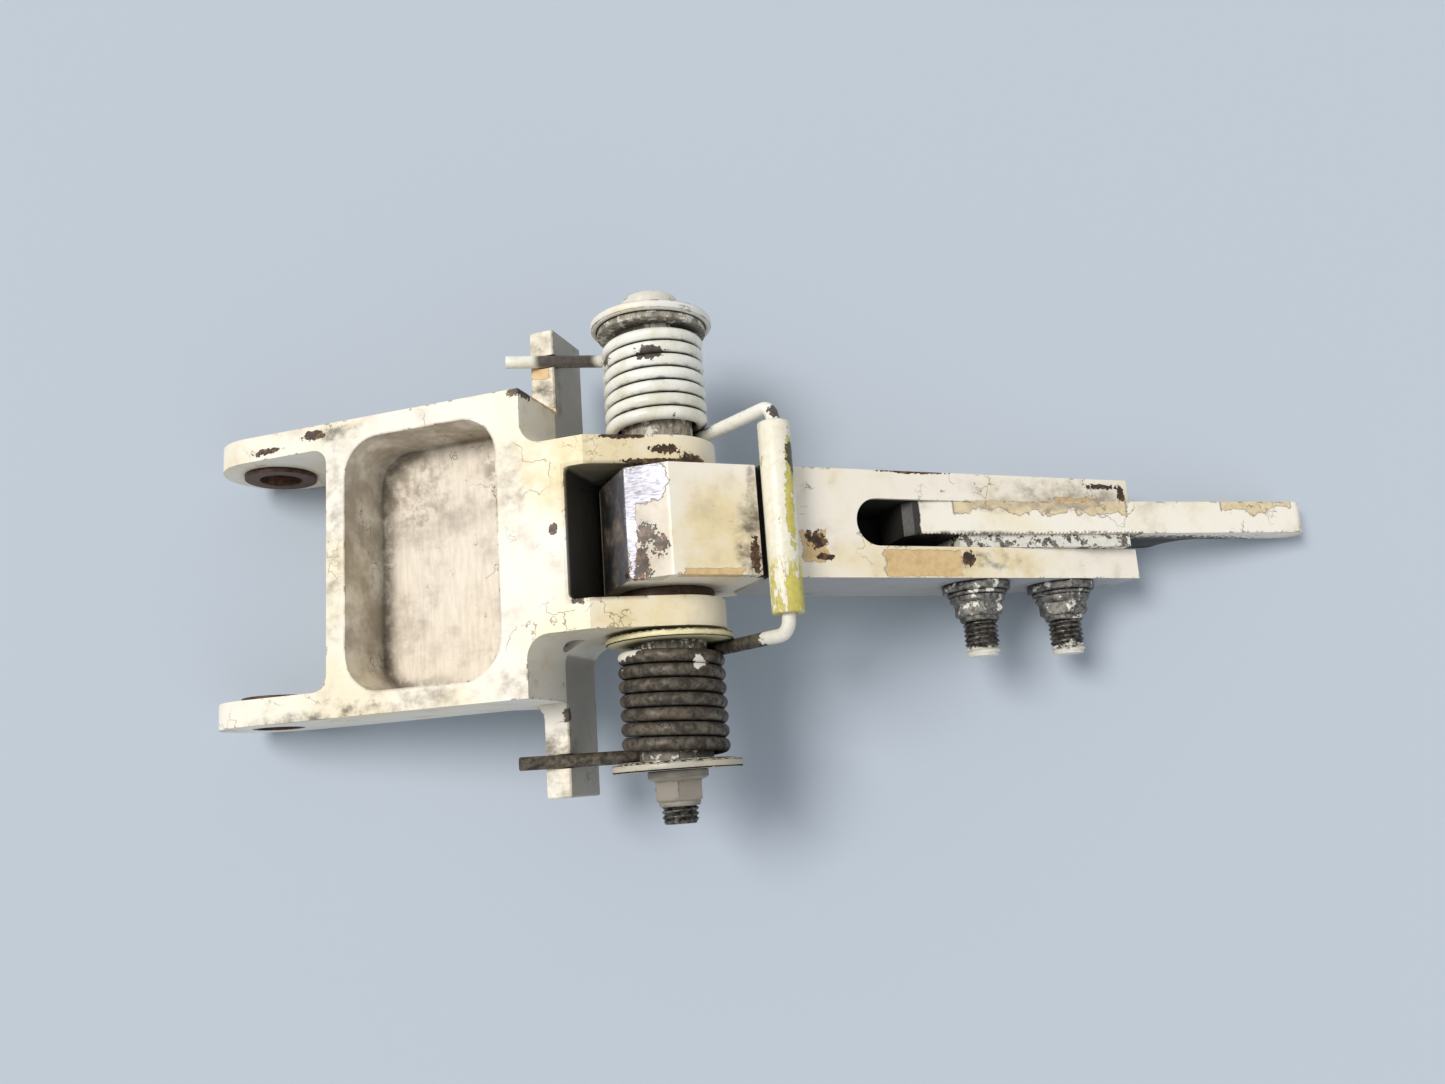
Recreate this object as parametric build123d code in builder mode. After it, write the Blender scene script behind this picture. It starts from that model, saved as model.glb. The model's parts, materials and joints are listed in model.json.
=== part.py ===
from build123d import *
from math import acos, atan2, cos, degrees, hypot, radians, sin, tan
import os

# A spring-loaded door closer lever: a bracket that hangs on a bolt through its two ears, a fork
# with a lever arm on a pivot bolt, two torsion springs that push the arm down, and a serrated
# blade clamped in the arm's slot. Millimetres, +Z up, +X towards the blade's nose, +Y towards
# the pivot bolt's head. The origin is the middle of the bore through the two ears.
# The closer stands like a tent, on its ears and on the blade's nose.

# ---- Attitude of the two halves ----
BRACKET_TILT = 19.0  # the bracket climbs from the ears to the pivot
ARM_DROP = 21.43  # the arm falls from the pivot to the nose
BLADE_LIFT = 6.0  # the blade is clamped nose up, against the arm's own line

# ---- Pivot and its hardware (quarter-inch bolts) ----
BOLT_RADIUS = 6.35 / 2
RUNNING_GAP = 0.05
BORE_RADIUS = BOLT_RADIUS + RUNNING_GAP
FACE_GAP = 0.05  # between flat faces of pieces that move apart
NUT_ACROSS_FLATS = 7.94
NUT_FLANGE_RADIUS = 5.3
SMALL_BREAK = 0.4  # chamfer on turned and sawn ends
CLEAR_CUT = 5.0  # how far cutting shapes run past the faces they cut

# ---- Bracket, in its own axes: x along it from the pivot, z square to its top face ----
EAR_X = -77.8
EAR_Z = 6.2
EAR_RADIUS = 10.6
EAR_INNER = 22.5
BODY_HALF_WIDTH = 27.3
BODY_LEFT = -59.4
BODY_RIGHT = -19.5
BODY_TOP = EAR_Z + EAR_RADIUS
BODY_BOTTOM = EAR_Z - EAR_RADIUS
EAR_BORE_RADIUS = 7.94 / 2
EAR_BUSH_RADIUS = 4.75
EAR_FLANGE_RADIUS = 6.75
EAR_FLANGE = 1.0
TINE_RADIUS = 10.3
TINE_INNER = 11.6
TINE_OUTER = 16.8
TINE_KINK_X = -7.6  # where the top face breaks down towards the rounded tine end
RECESS_WALL_X = -11.4
POCKET_LEFT = -55.4
POCKET_RIGHT = -24.4
POCKET_HALF_WIDTH = 23.3
POCKET_DEPTH = 11.5
POCKET_CORNER = 7.0
EAR_ROOT_RADIUS = 3.0
FORK_ROOT_RADIUS = 4.0
RECESS_CORNER = 1.2
HORN_LEFT = -24.3
HORN_TOP = 1.6
HORN_END = 44.0
HORN_ROOT_RADIUS = 3.0
STEP_X = -34.0  # the underside steps down here, from the ears' depth to the fork's
OIL_HOLE_RADIUS = 2.1
OIL_HOLE_DEPTH = 5.0
OIL_HOLE_Z = 3.6

# ---- Arm, in its own axes: x along it from the pivot, z square to its top face ----
HUB_HALF_WIDTH = 9.6
HUB_RADIUS = 11.15
HUB_HEEL_TOP = 12.8  # the flat heel meets the recess wall when the arm is fully open
TOE_TOP = -3.0  # the toe meets the recess wall at rest; in the bracket's axes
TOE_BOTTOM = -9.0
TOE_BACK_X = -6.0
HUB_BEVEL_X = -5.0
HUB_TOP = 17.8
HUB_END_X = 10.9
ARM_HALF_WIDTH = 9.9
ARM_TOP = 17.0
ARM_BOTTOM = -2.0
ARM_END_X = 92.3
ARM_END_BOTTOM = 10.0
ARM_TAPER_X = 67.0
GROOVE_WIDTH = 1.3
GROOVE_DEPTH = 0.8
SLOT_START_X = 30.3
SLOT_WIDTH = 8.7
SLOT_SHIFT = 0.25  # the slot sits off centre, towards the bolt heads
SLOT_WEB_END_X = 50.0  # a web closes the slot's underside up to here
SLOT_WEB_TOP = 1.0
HUB_ROOT = 4.0  # slope between the round hub and the arm's underside
CLAMP_X = (58.4, 78.1)
CLAMP_Z = 10.5

# ---- Springs and bridge tube ----
COIL_RADIUS = 8.25
WIRE_RADIUS = 1.2
FULL_TURNS = 7
OUTER_LEG_Y = 37.6
INNER_LEG_Y = 19.9
OUTER_LEG_LIFT = 27.0  # the leg rises this much above the bracket's line, away from the coil
OUTER_LEG_LENGTH = 27.0
ELBOW_RADIUS = 2.6
TUBE_X = 14.0
TUBE_RADIUS = 2.8
TUBE_BORE_RADIUS = 1.4
TUBE_HALF_LENGTH = 16.65
TUBE_Z = ARM_TOP + TUBE_RADIUS + FACE_GAP
LEG_IN_TUBE = 14.0
NOTCH_RADIUS = WIRE_RADIUS + 0.1

# ---- Stack on the pivot bolt, by distance from the middle plane ----
BUSH_RADIUS = 5.0
FORK_FLANGE_RADIUS = 7.0
FORK_FLANGE = 0.6
THRUST_RADIUS = 8.5
SPOOL_RADIUS = 6.45
SPOOL_FLANGE_Y = OUTER_LEG_Y + WIRE_RADIUS + 0.15
HEAD_SPOOL_FLANGE = 1.2
NUT_SPOOL_FLANGE = 0.3
SPOOL_FLANGE_RADIUS = 10.1
INNER_WASHER = 1.25
WASHER_RADIUS = 11.35
CAP_THICKNESS = 1.75
CAP_DISH = 0.8
CAP_RIM = 1.2
END_WASHER = 1.4
HEAD_RADIUS = 5.55
HEAD_HEIGHT = 4.7
HEAD_SLOT_WIDTH = 1.4
HEAD_SLOT_DEPTH = 1.2
NUT_FLANGE = 1.5
NUT_HEIGHT = 6.05
BOLT_POINT = 2.95  # thread showing past the pivot nut

# ---- Blade, plate and clamp hardware ----
BLADE_BACK_X = -16.5
BLADE_TOP = 7.0
BLADE_BOTTOM = -7.2
BLADE_STEP_X = 45.0
BLADE_CORNER = 3.0
BLADE_TOP_CORNER = 1.5
NOSE_BOTTOM = 1.0
NOSE_CENTRE_X = 70.4
NOSE_FILLET = 6.0
TOOTH_PITCH = 0.8
TOOTH_DEPTH = 0.4
ADJUST_PITCHES = 3
BLADE_TEETH_START = -14.4
BLADE_TEETH = 60
PLATE_TEETH_START = -5.6
PLATE_TEETH = 46
PLATE_HALF_HEIGHT = 6.0
BLADE_THICKNESS = 6.3
CLAMP_HEAD_RADIUS = 6.0
CLAMP_HEAD_ANGLE = 100.0
WIDE_WASHER = (6.35, 1.6)
THIN_WASHER = (5.6, 0.8)
CLAMP_NUT_HEIGHT = 4.8
CLAMP_NUT_FLANGE = 1.2
CLAMP_NUT_FLANGE_RADIUS = 5.15
CLAMP_POINT = 6.5

SIDES = (("head_side", 1), ("nut_side", -1))
ACROSS = (0, -1, 0)  # side profiles are drawn looking along +Y


def heading(angle):
    """Unit vector in the XZ plane, at an angle above +X."""
    return Vector(cos(radians(angle)), 0, sin(radians(angle)))


bracket_line = heading(BRACKET_TILT)
bracket_up = heading(BRACKET_TILT + 90)
arm_line = heading(-ARM_DROP)
arm_up = heading(90 - ARM_DROP)
ear_axis = Vector(0, 0, 0)
pivot = bracket_line * -EAR_X + bracket_up * -EAR_Z

bracket_side = Plane(origin=pivot, x_dir=bracket_line, z_dir=ACROSS)
bracket_face = Plane(origin=pivot + bracket_up * BODY_TOP, x_dir=bracket_line, z_dir=bracket_up)
arm_side = Plane(origin=pivot, x_dir=arm_line, z_dir=ACROSS)
arm_face = Plane(origin=pivot + arm_up * HUB_TOP, x_dir=arm_line, z_dir=arm_up)

clamp_axes = [pivot + arm_line * x + arm_up * CLAMP_Z for x in CLAMP_X]
blade_line = heading(BLADE_LIFT - ARM_DROP)
blade_up = heading(BLADE_LIFT - ARM_DROP + 90)
blade_side = Plane(origin=clamp_axes[0], x_dir=blade_line, z_dir=ACROSS)
blade_face = Plane(origin=clamp_axes[0] + blade_up * BLADE_TOP, x_dir=blade_line, z_dir=blade_up)
tube_axis = pivot + arm_line * TUBE_X + arm_up * TUBE_Z

ARM_DEPTH = HUB_TOP + HUB_RADIUS + CLEAR_CUT
BRACKET_DEPTH = BODY_TOP + TINE_RADIUS + CLEAR_CUT


def across_plane(axis, y):
    """Plane square to Y at a given y, centred on an axis that runs along Y."""
    return Plane(origin=(axis.X, y, axis.Z), x_dir=(1, 0, 0), z_dir=(0, 1, 0))


def turn(axis, start, end, radius, mode=Mode.ADD):
    """Add or cut a cylinder about an axis that runs along Y, between two values of y."""
    with Locations(across_plane(axis, min(start, end))):
        Cylinder(radius, abs(end - start), align=(Align.CENTER, Align.CENTER, Align.MIN), mode=mode)


def hexagon(axis, start, end, across_flats):
    """Add a hexagonal prism about an axis that runs along Y."""
    with BuildSketch(across_plane(axis, min(start, end))) as outline:
        RegularPolygon(across_flats / 2, 6, major_radius=False)
    extrude(outline.sketch, amount=abs(end - start))


def break_ends(size):
    """Chamfer the circular rims at both ends of a turned piece along Y."""
    rims = edges().filter_by(GeomType.CIRCLE)
    chamfer(rims.group_by(SortBy.RADIUS)[-1], size)


def save(builder, name):
    """Label a sub-part and write its STEP file."""
    builder.part.label = name
    export_step(builder.part, f"parts/{name}.step")


def zigzag(start, teeth, valley, tip):
    """Corners of a row of saw teeth: valleys on the pitch marks, tips halfway between."""
    corners = [(start, valley)]
    for tooth in range(teeth):
        corners.append((start + (tooth + 0.5) * TOOTH_PITCH, tip))
        corners.append((start + (tooth + 1) * TOOTH_PITCH, valley))
    return corners


os.makedirs("parts", exist_ok=True)

# ---- Outer spring leg: tangent to the underside of the coil, resting in the horn's notch ----
leg_angle = 180 - OUTER_LEG_LIFT + BRACKET_TILT
leg_out = heading(leg_angle)
leg_foot = heading(leg_angle + 90)

# ---- Mount bracket: ears, pocketed body, fork and the two horns that the spring legs press ----
kink = -TINE_KINK_X
slope = acos(TINE_RADIUS / hypot(kink, BODY_TOP)) - atan2(kink, BODY_TOP)
slope_end = (TINE_RADIUS * sin(slope), TINE_RADIUS * cos(slope))

with BuildPart() as mount_bracket:
    with BuildSketch(bracket_side):
        with Locations((EAR_X, EAR_Z)):
            Circle(EAR_RADIUS)
        Circle(TINE_RADIUS)
        with BuildLine():
            Polyline(
                (EAR_X, BODY_TOP),
                (TINE_KINK_X, BODY_TOP),
                slope_end,
                (0, 0),
                (0, -TINE_RADIUS),
                (STEP_X + (TINE_RADIUS + BODY_BOTTOM), -TINE_RADIUS),
                (STEP_X, BODY_BOTTOM),
                (EAR_X, BODY_BOTTOM),
                close=True,
            )
        make_face()
    extrude(amount=BODY_HALF_WIDTH, both=True)
    gap_length = 2 * EAR_RADIUS
    with BuildSketch(bracket_face):
        with Locations((BODY_LEFT - gap_length, 0)):
            RectangleRounded(2 * gap_length, 2 * EAR_INNER, EAR_ROOT_RADIUS)
        with Locations((RECESS_WALL_X + TINE_RADIUS * 2, 0)):
            RectangleRounded(4 * TINE_RADIUS, 2 * TINE_INNER, RECESS_CORNER)
        flank = 2 * (BODY_HALF_WIDTH - TINE_OUTER)
        flank_x = BODY_RIGHT + 2 * TINE_RADIUS
        with Locations((flank_x, BODY_HALF_WIDTH), (flank_x, -BODY_HALF_WIDTH)):
            RectangleRounded(4 * TINE_RADIUS, flank, FORK_ROOT_RADIUS)
    extrude(amount=-BRACKET_DEPTH, mode=Mode.SUBTRACT)
    with BuildSketch(bracket_face):
        with Locations(((POCKET_LEFT + POCKET_RIGHT) / 2, 0)):
            RectangleRounded(POCKET_RIGHT - POCKET_LEFT, 2 * POCKET_HALF_WIDTH, POCKET_CORNER)
    extrude(amount=-POCKET_DEPTH, mode=Mode.SUBTRACT)
    with BuildSketch(bracket_side):
        with Locations(((HORN_LEFT + BODY_RIGHT) / 2, (HORN_TOP - TINE_RADIUS) / 2)):
            Rectangle(BODY_RIGHT - HORN_LEFT, HORN_TOP + TINE_RADIUS)
    extrude(amount=HORN_END, both=True)
    for name, side in SIDES:
        root = pivot + bracket_line * HORN_LEFT + Vector(0, side * BODY_HALF_WIDTH, 0)
        fillet(edges().sort_by_distance(root - bracket_up * (TINE_RADIUS / 2))[0], HORN_ROOT_RADIUS)
        tip_edges = edges().group_by(Axis.Y)[0 if side < 0 else -1]
        fillet(tip_edges, SMALL_BREAK)
    for name, side in SIDES:
        start = pivot + leg_foot * COIL_RADIUS + Vector(0, side * OUTER_LEG_Y, 0)
        with BuildSketch(Plane(origin=start, x_dir=(0, 1, 0), z_dir=leg_out)):
            Circle(NOTCH_RADIUS)
            with Locations((0, -NOTCH_RADIUS * 2)):
                Rectangle(2 * NOTCH_RADIUS, 4 * NOTCH_RADIUS)
        extrude(amount=OUTER_LEG_LENGTH + CLEAR_CUT, mode=Mode.SUBTRACT)
    turn(ear_axis, -BODY_HALF_WIDTH, BODY_HALF_WIDTH, EAR_BUSH_RADIUS, Mode.SUBTRACT)
    turn(pivot, -TINE_OUTER, TINE_OUTER, BUSH_RADIUS, Mode.SUBTRACT)
    oil_mouth = pivot + bracket_line * (BODY_RIGHT + FORK_ROOT_RADIUS / 2) + bracket_up * OIL_HOLE_Z
    with Locations(Plane(origin=oil_mouth - Vector(0, TINE_OUTER, 0), z_dir=bracket_line - Vector(0, 1, 0))):
        Cylinder(OIL_HOLE_RADIUS, 2 * OIL_HOLE_DEPTH, mode=Mode.SUBTRACT)
save(mount_bracket, "mount_bracket")

# ---- Flanged bushings in the ears and in the fork ----
for name, side in SIDES:
    flange_face = side * (EAR_INNER - EAR_FLANGE)
    ear_face = side * BODY_HALF_WIDTH
    with BuildPart() as ear_bushing:
        turn(ear_axis, side * EAR_INNER, ear_face, EAR_BUSH_RADIUS)
        turn(ear_axis, flange_face, side * EAR_INNER, EAR_FLANGE_RADIUS)
        turn(ear_axis, flange_face, ear_face, EAR_BORE_RADIUS, Mode.SUBTRACT)
    save(ear_bushing, f"{name}_ear_bushing")

    with BuildPart() as fork_bushing:
        turn(pivot, side * TINE_INNER, side * TINE_OUTER, BUSH_RADIUS)
        turn(pivot, side * TINE_OUTER, side * (TINE_OUTER + FORK_FLANGE), FORK_FLANGE_RADIUS)
        turn(pivot, side * TINE_INNER, side * (TINE_OUTER + FORK_FLANGE), BORE_RADIUS, Mode.SUBTRACT)
    save(fork_bushing, f"{name}_fork_bushing")

    with BuildPart() as thrust_washer:
        turn(pivot, side * HUB_HALF_WIDTH, side * (TINE_INNER - FACE_GAP), THRUST_RADIUS)
        turn(pivot, side * HUB_HALF_WIDTH, side * TINE_INNER, BORE_RADIUS, Mode.SUBTRACT)
        break_ends(SMALL_BREAK / 2)
    save(thrust_washer, f"{name}_thrust_washer")

with BuildPart() as hub_bushing:
    turn(pivot, -HUB_HALF_WIDTH, HUB_HALF_WIDTH, BUSH_RADIUS)
    turn(pivot, -HUB_HALF_WIDTH, HUB_HALF_WIDTH, BORE_RADIUS, Mode.SUBTRACT)
save(hub_bushing, "hub_bushing")

# ---- Washers and spools along the pivot bolt ----
stack_inner = TINE_OUTER + FORK_FLANGE
head_spool_end = SPOOL_FLANGE_Y + HEAD_SPOOL_FLANGE
cap_face = head_spool_end + CAP_THICKNESS
nut_spool_start = stack_inner + INNER_WASHER
nut_spool_end = SPOOL_FLANGE_Y + NUT_SPOOL_FLANGE
end_washer_face = nut_spool_end + END_WASHER
nut_face = end_washer_face + NUT_HEIGHT

with BuildPart() as inner_spring_washer:
    turn(pivot, -stack_inner, -nut_spool_start, WASHER_RADIUS)
    turn(pivot, -stack_inner, -nut_spool_start, BORE_RADIUS, Mode.SUBTRACT)
    break_ends(SMALL_BREAK / 2)
save(inner_spring_washer, "inner_spring_washer")

with BuildPart() as head_side_spool:
    turn(pivot, stack_inner, SPOOL_FLANGE_Y, SPOOL_RADIUS)
    turn(pivot, SPOOL_FLANGE_Y, head_spool_end, SPOOL_FLANGE_RADIUS)
    turn(pivot, stack_inner, head_spool_end, BORE_RADIUS, Mode.SUBTRACT)
save(head_side_spool, "head_side_spool")

with BuildPart() as nut_side_spool:
    turn(pivot, -nut_spool_start, -SPOOL_FLANGE_Y, SPOOL_RADIUS)
    turn(pivot, -SPOOL_FLANGE_Y, -nut_spool_end, SPOOL_FLANGE_RADIUS)
    turn(pivot, -nut_spool_start, -nut_spool_end, BORE_RADIUS, Mode.SUBTRACT)
save(nut_side_spool, "nut_side_spool")

with BuildPart() as cap_washer:
    turn(pivot, head_spool_end, cap_face, WASHER_RADIUS)
    break_ends(SMALL_BREAK)
    with BuildSketch(across_plane(pivot, head_spool_end)):
        Circle(WASHER_RADIUS - CAP_RIM)
        Circle(SPOOL_RADIUS, mode=Mode.SUBTRACT)
    extrude(amount=CAP_DISH, mode=Mode.SUBTRACT)
    turn(pivot, head_spool_end, cap_face, BORE_RADIUS, Mode.SUBTRACT)
save(cap_washer, "cap_washer")

with BuildPart() as end_washer:
    turn(pivot, -nut_spool_end, -end_washer_face, WASHER_RADIUS)
    break_ends(SMALL_BREAK / 2)
    turn(pivot, -nut_spool_end, -end_washer_face, BORE_RADIUS, Mode.SUBTRACT)
save(end_washer, "end_washer")

# ---- Pivot bolt with a slotted round head, and its flanged self-locking nut ----
with BuildPart() as pivot_bolt:
    turn(pivot, cap_face, cap_face + HEAD_HEIGHT, HEAD_RADIUS)
    chamfer(faces().sort_by(Axis.Y)[-1].edges(), SMALL_BREAK * 2)
    turn(pivot, -nut_face - BOLT_POINT, cap_face, BOLT_RADIUS)
    chamfer(faces().sort_by(Axis.Y)[0].edges(), SMALL_BREAK)
    with BuildSketch(across_plane(pivot, cap_face + HEAD_HEIGHT)):
        Rectangle(3 * HEAD_RADIUS, HEAD_SLOT_WIDTH)
    extrude(amount=-HEAD_SLOT_DEPTH, mode=Mode.SUBTRACT)
save(pivot_bolt, "pivot_bolt")

with BuildPart() as pivot_nut:
    turn(pivot, -end_washer_face, -end_washer_face - NUT_FLANGE, NUT_FLANGE_RADIUS)
    chamfer(faces().sort_by(Axis.Y)[0].edges(), SMALL_BREAK)
    hexagon(pivot, -end_washer_face - NUT_FLANGE, -nut_face, NUT_ACROSS_FLATS)
    turn(pivot, -end_washer_face, -nut_face, BORE_RADIUS, Mode.SUBTRACT)
save(pivot_nut, "pivot_nut")

# ---- Torsion springs: outer leg in the horn's notch, inner leg bent into the bridge tube ----
tube_reach = hypot(TUBE_X, TUBE_Z)
tangent_angle = degrees(atan2(TUBE_Z, TUBE_X) - acos(COIL_RADIUS / tube_reach)) - ARM_DROP
leg_in = heading(tangent_angle + 90)
start_angle = leg_angle + 90
coil_turns = FULL_TURNS + ((tangent_angle - start_angle) % 360) / 360
coil_pitch = (OUTER_LEG_Y - INNER_LEG_Y) / coil_turns

for name, side in SIDES:
    inward = Vector(0, -side, 0)
    outer_y = Vector(0, side * OUTER_LEG_Y, 0)
    inner_y = Vector(0, side * INNER_LEG_Y, 0)
    coil_start = pivot + leg_foot * COIL_RADIUS + outer_y
    coil_end = pivot + heading(tangent_angle) * COIL_RADIUS + inner_y
    elbow_start = tube_axis + inner_y - leg_in * ELBOW_RADIUS
    elbow_end = tube_axis + inner_y + inward * ELBOW_RADIUS
    elbow_middle = (
        tube_axis + inner_y + (inward - leg_in) * ELBOW_RADIUS * (1 - sin(radians(45)))
    )
    coil = Plane(origin=pivot + outer_y, x_dir=leg_foot, z_dir=inward) * Helix(
        coil_pitch, coil_pitch * coil_turns, COIL_RADIUS, lefthand=side < 0
    )
    leg_tip = coil_start + leg_out * OUTER_LEG_LENGTH
    with BuildPart() as spring:
        with BuildLine() as wire:
            Line(leg_tip, coil_start)
            add(coil)
            Line(coil_end, elbow_start)
            ThreePointArc(elbow_start, elbow_middle, elbow_end)
            Line(elbow_end, elbow_end + inward * LEG_IN_TUBE)
        with BuildSketch(Plane(origin=leg_tip, z_dir=-leg_out)) as section:
            Circle(WIRE_RADIUS)
        sweep(sections=section.sketch, path=wire.line, transition=Transition.TRANSFORMED)
    save(spring, f"{name}_spring")

with BuildPart() as bridge_tube:
    turn(tube_axis, -TUBE_HALF_LENGTH, TUBE_HALF_LENGTH, TUBE_RADIUS)
    turn(tube_axis, -TUBE_HALF_LENGTH, TUBE_HALF_LENGTH, TUBE_BORE_RADIUS, Mode.SUBTRACT)
save(bridge_tube, "bridge_tube")

# ---- Lever arm: hub between the tines, and a long arm with an open slot for the blade ----
toe_face_x = RECESS_WALL_X + FACE_GAP
groove_end_x = HUB_END_X + GROOVE_WIDTH

with BuildPart() as lever_arm:
    with BuildSketch(bracket_side):
        with BuildLine():
            Polyline(
                (toe_face_x, TOE_TOP),
                (toe_face_x, TOE_BOTTOM),
                (TOE_BACK_X, -HUB_RADIUS),
                (0, -BUSH_RADIUS),
                close=True,
            )
        make_face()
    extrude(amount=HUB_HALF_WIDTH, both=True)
    with BuildSketch(arm_side):
        Circle(HUB_RADIUS)
        with BuildLine():
            Polyline(
                (-HUB_RADIUS, 0),
                (-HUB_RADIUS, HUB_HEEL_TOP),
                (HUB_BEVEL_X, HUB_TOP),
                (HUB_END_X, HUB_TOP),
                (HUB_END_X, ARM_BOTTOM),
                (0, 0),
                close=True,
            )
        make_face()
    extrude(amount=HUB_HALF_WIDTH, both=True)
    with BuildSketch(arm_side):
        with BuildLine():
            Polyline(
                (0, BUSH_RADIUS),
                (0, ARM_TOP - GROOVE_DEPTH),
                (groove_end_x, ARM_TOP - GROOVE_DEPTH),
                (groove_end_x, ARM_TOP),
                (ARM_END_X, ARM_TOP),
                (ARM_END_X, ARM_END_BOTTOM),
                (ARM_TAPER_X, ARM_BOTTOM),
                (HUB_END_X + HUB_ROOT, ARM_BOTTOM),
                (HUB_RADIUS * sin(radians(45)), -HUB_RADIUS * cos(radians(45))),
                (0, -BUSH_RADIUS),
                close=True,
            )
        make_face()
    extrude(amount=HUB_HALF_WIDTH, both=True)
    with BuildSketch(arm_side):
        with BuildLine():
            Polyline(
                (groove_end_x, ARM_TOP),
                (ARM_END_X, ARM_TOP),
                (ARM_END_X, ARM_END_BOTTOM),
                (ARM_TAPER_X, ARM_BOTTOM),
                (HUB_END_X + HUB_ROOT, ARM_BOTTOM),
                (groove_end_x, ARM_BOTTOM + HUB_ROOT),
                close=True,
            )
        make_face()
    extrude(amount=ARM_HALF_WIDTH, both=True)
    slot_centre = SLOT_START_X + SLOT_WIDTH / 2
    slot_length = ARM_END_X + SLOT_WIDTH - slot_centre
    with BuildSketch(arm_face):
        with Locations((slot_centre + slot_length / 2, SLOT_SHIFT)):
            SlotCenterToCenter(slot_length, SLOT_WIDTH)
    extrude(amount=-ARM_DEPTH, mode=Mode.SUBTRACT)
    with BuildSketch(arm_side):
        with Locations(((SLOT_START_X + SLOT_WEB_END_X) / 2, (ARM_BOTTOM + SLOT_WEB_TOP) / 2)):
            Rectangle(SLOT_WEB_END_X - SLOT_START_X, SLOT_WEB_TOP - ARM_BOTTOM)
    extrude(amount=SLOT_WIDTH, both=True)
    turn(pivot, -ARM_HALF_WIDTH, ARM_HALF_WIDTH, BUSH_RADIUS, Mode.SUBTRACT)
    with Locations(*[across_plane(axis, ARM_HALF_WIDTH) for axis in clamp_axes]):
        CounterSinkHole(BORE_RADIUS, CLAMP_HEAD_RADIUS + RUNNING_GAP, counter_sink_angle=CLAMP_HEAD_ANGLE)
save(lever_arm, "lever_arm")

# ---- Adjuster blade and the serrated plate that its teeth lock into ----
slot_high = SLOT_SHIFT + SLOT_WIDTH / 2
slot_low = SLOT_SHIFT - SLOT_WIDTH / 2
blade_high = slot_high - FACE_GAP
blade_low = blade_high - BLADE_THICKNESS
tooth_root = blade_low + TOOTH_DEPTH
second_clamp = CLAMP_X[1] - CLAMP_X[0]
clamp_marks = [
    (0, 0),
    (second_clamp * cos(radians(BLADE_LIFT)), -second_clamp * sin(radians(BLADE_LIFT))),
]
nose_radius = (BLADE_TOP - NOSE_BOTTOM) / 2

with BuildPart() as adjuster_blade:
    with BuildSketch(blade_side.offset(-blade_high)) as outline:
        with BuildLine():
            Polyline(
                (BLADE_BACK_X + BLADE_TOP_CORNER, BLADE_TOP),
                (NOSE_CENTRE_X, BLADE_TOP),
                (NOSE_CENTRE_X, NOSE_BOTTOM),
                (BLADE_STEP_X, NOSE_BOTTOM),
                (BLADE_STEP_X, BLADE_BOTTOM),
                (BLADE_BACK_X + BLADE_CORNER, BLADE_BOTTOM),
                (BLADE_BACK_X, BLADE_BOTTOM + BLADE_CORNER),
                (BLADE_BACK_X, BLADE_TOP - BLADE_TOP_CORNER),
                close=True,
            )
        make_face()
        fillet(outline.vertices().sort_by_distance((BLADE_STEP_X, NOSE_BOTTOM))[0], NOSE_FILLET)
        fillet(outline.vertices().sort_by_distance((BLADE_STEP_X, BLADE_BOTTOM))[0], nose_radius / 2)
        with Locations((NOSE_CENTRE_X, BLADE_TOP - nose_radius)):
            Circle(nose_radius)
        with Locations(*clamp_marks):
            SlotCenterToCenter(
                2 * ADJUST_PITCHES * TOOTH_PITCH, 2 * (BORE_RADIUS + FACE_GAP), mode=Mode.SUBTRACT
            )
    extrude(amount=BLADE_THICKNESS)
    with BuildSketch(blade_face):
        with BuildLine():
            teeth = zigzag(BLADE_TEETH_START, BLADE_TEETH, tooth_root, blade_low)
            outside = blade_low - TOOTH_PITCH
            Polyline(*teeth, (teeth[-1][0], outside), (teeth[0][0], outside), close=True)
        make_face()
    extrude(amount=BLADE_BOTTOM - BLADE_TOP, mode=Mode.SUBTRACT)
save(adjuster_blade, "adjuster_blade")

with BuildPart() as serrated_plate:
    with BuildSketch(blade_face.offset(PLATE_HALF_HEIGHT - BLADE_TOP)):
        with BuildLine():
            teeth = zigzag(PLATE_TEETH_START, PLATE_TEETH, tooth_root - FACE_GAP, blade_low - FACE_GAP)
            plate_back = slot_low + FACE_GAP
            Polyline(*teeth, (teeth[-1][0], plate_back), (teeth[0][0], plate_back), close=True)
        make_face()
    extrude(amount=-2 * PLATE_HALF_HEIGHT)
    for axis in clamp_axes:
        turn(axis, slot_low, slot_high, BORE_RADIUS, Mode.SUBTRACT)
save(serrated_plate, "serrated_plate")

# ---- Clamp hardware: two flush bolts, each with a wide washer, a thin washer and a flanged nut ----
wide_face = ARM_HALF_WIDTH + WIDE_WASHER[1]
thin_face = wide_face + THIN_WASHER[1]
clamp_nut_face = thin_face + CLAMP_NUT_HEIGHT
head_depth = (CLAMP_HEAD_RADIUS - BOLT_RADIUS) / tan(radians(CLAMP_HEAD_ANGLE / 2))

with BuildPart() as clamp_bolts:
    for axis in clamp_axes:
        turn(axis, -clamp_nut_face - CLAMP_POINT, ARM_HALF_WIDTH - head_depth, BOLT_RADIUS)
        with Locations(across_plane(axis, ARM_HALF_WIDTH - head_depth)):
            Cone(BOLT_RADIUS, CLAMP_HEAD_RADIUS, head_depth, align=(Align.CENTER, Align.CENTER, Align.MIN))
    chamfer(faces().group_by(Axis.Y)[0].edges(), SMALL_BREAK)
save(clamp_bolts, "clamp_bolts")

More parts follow.
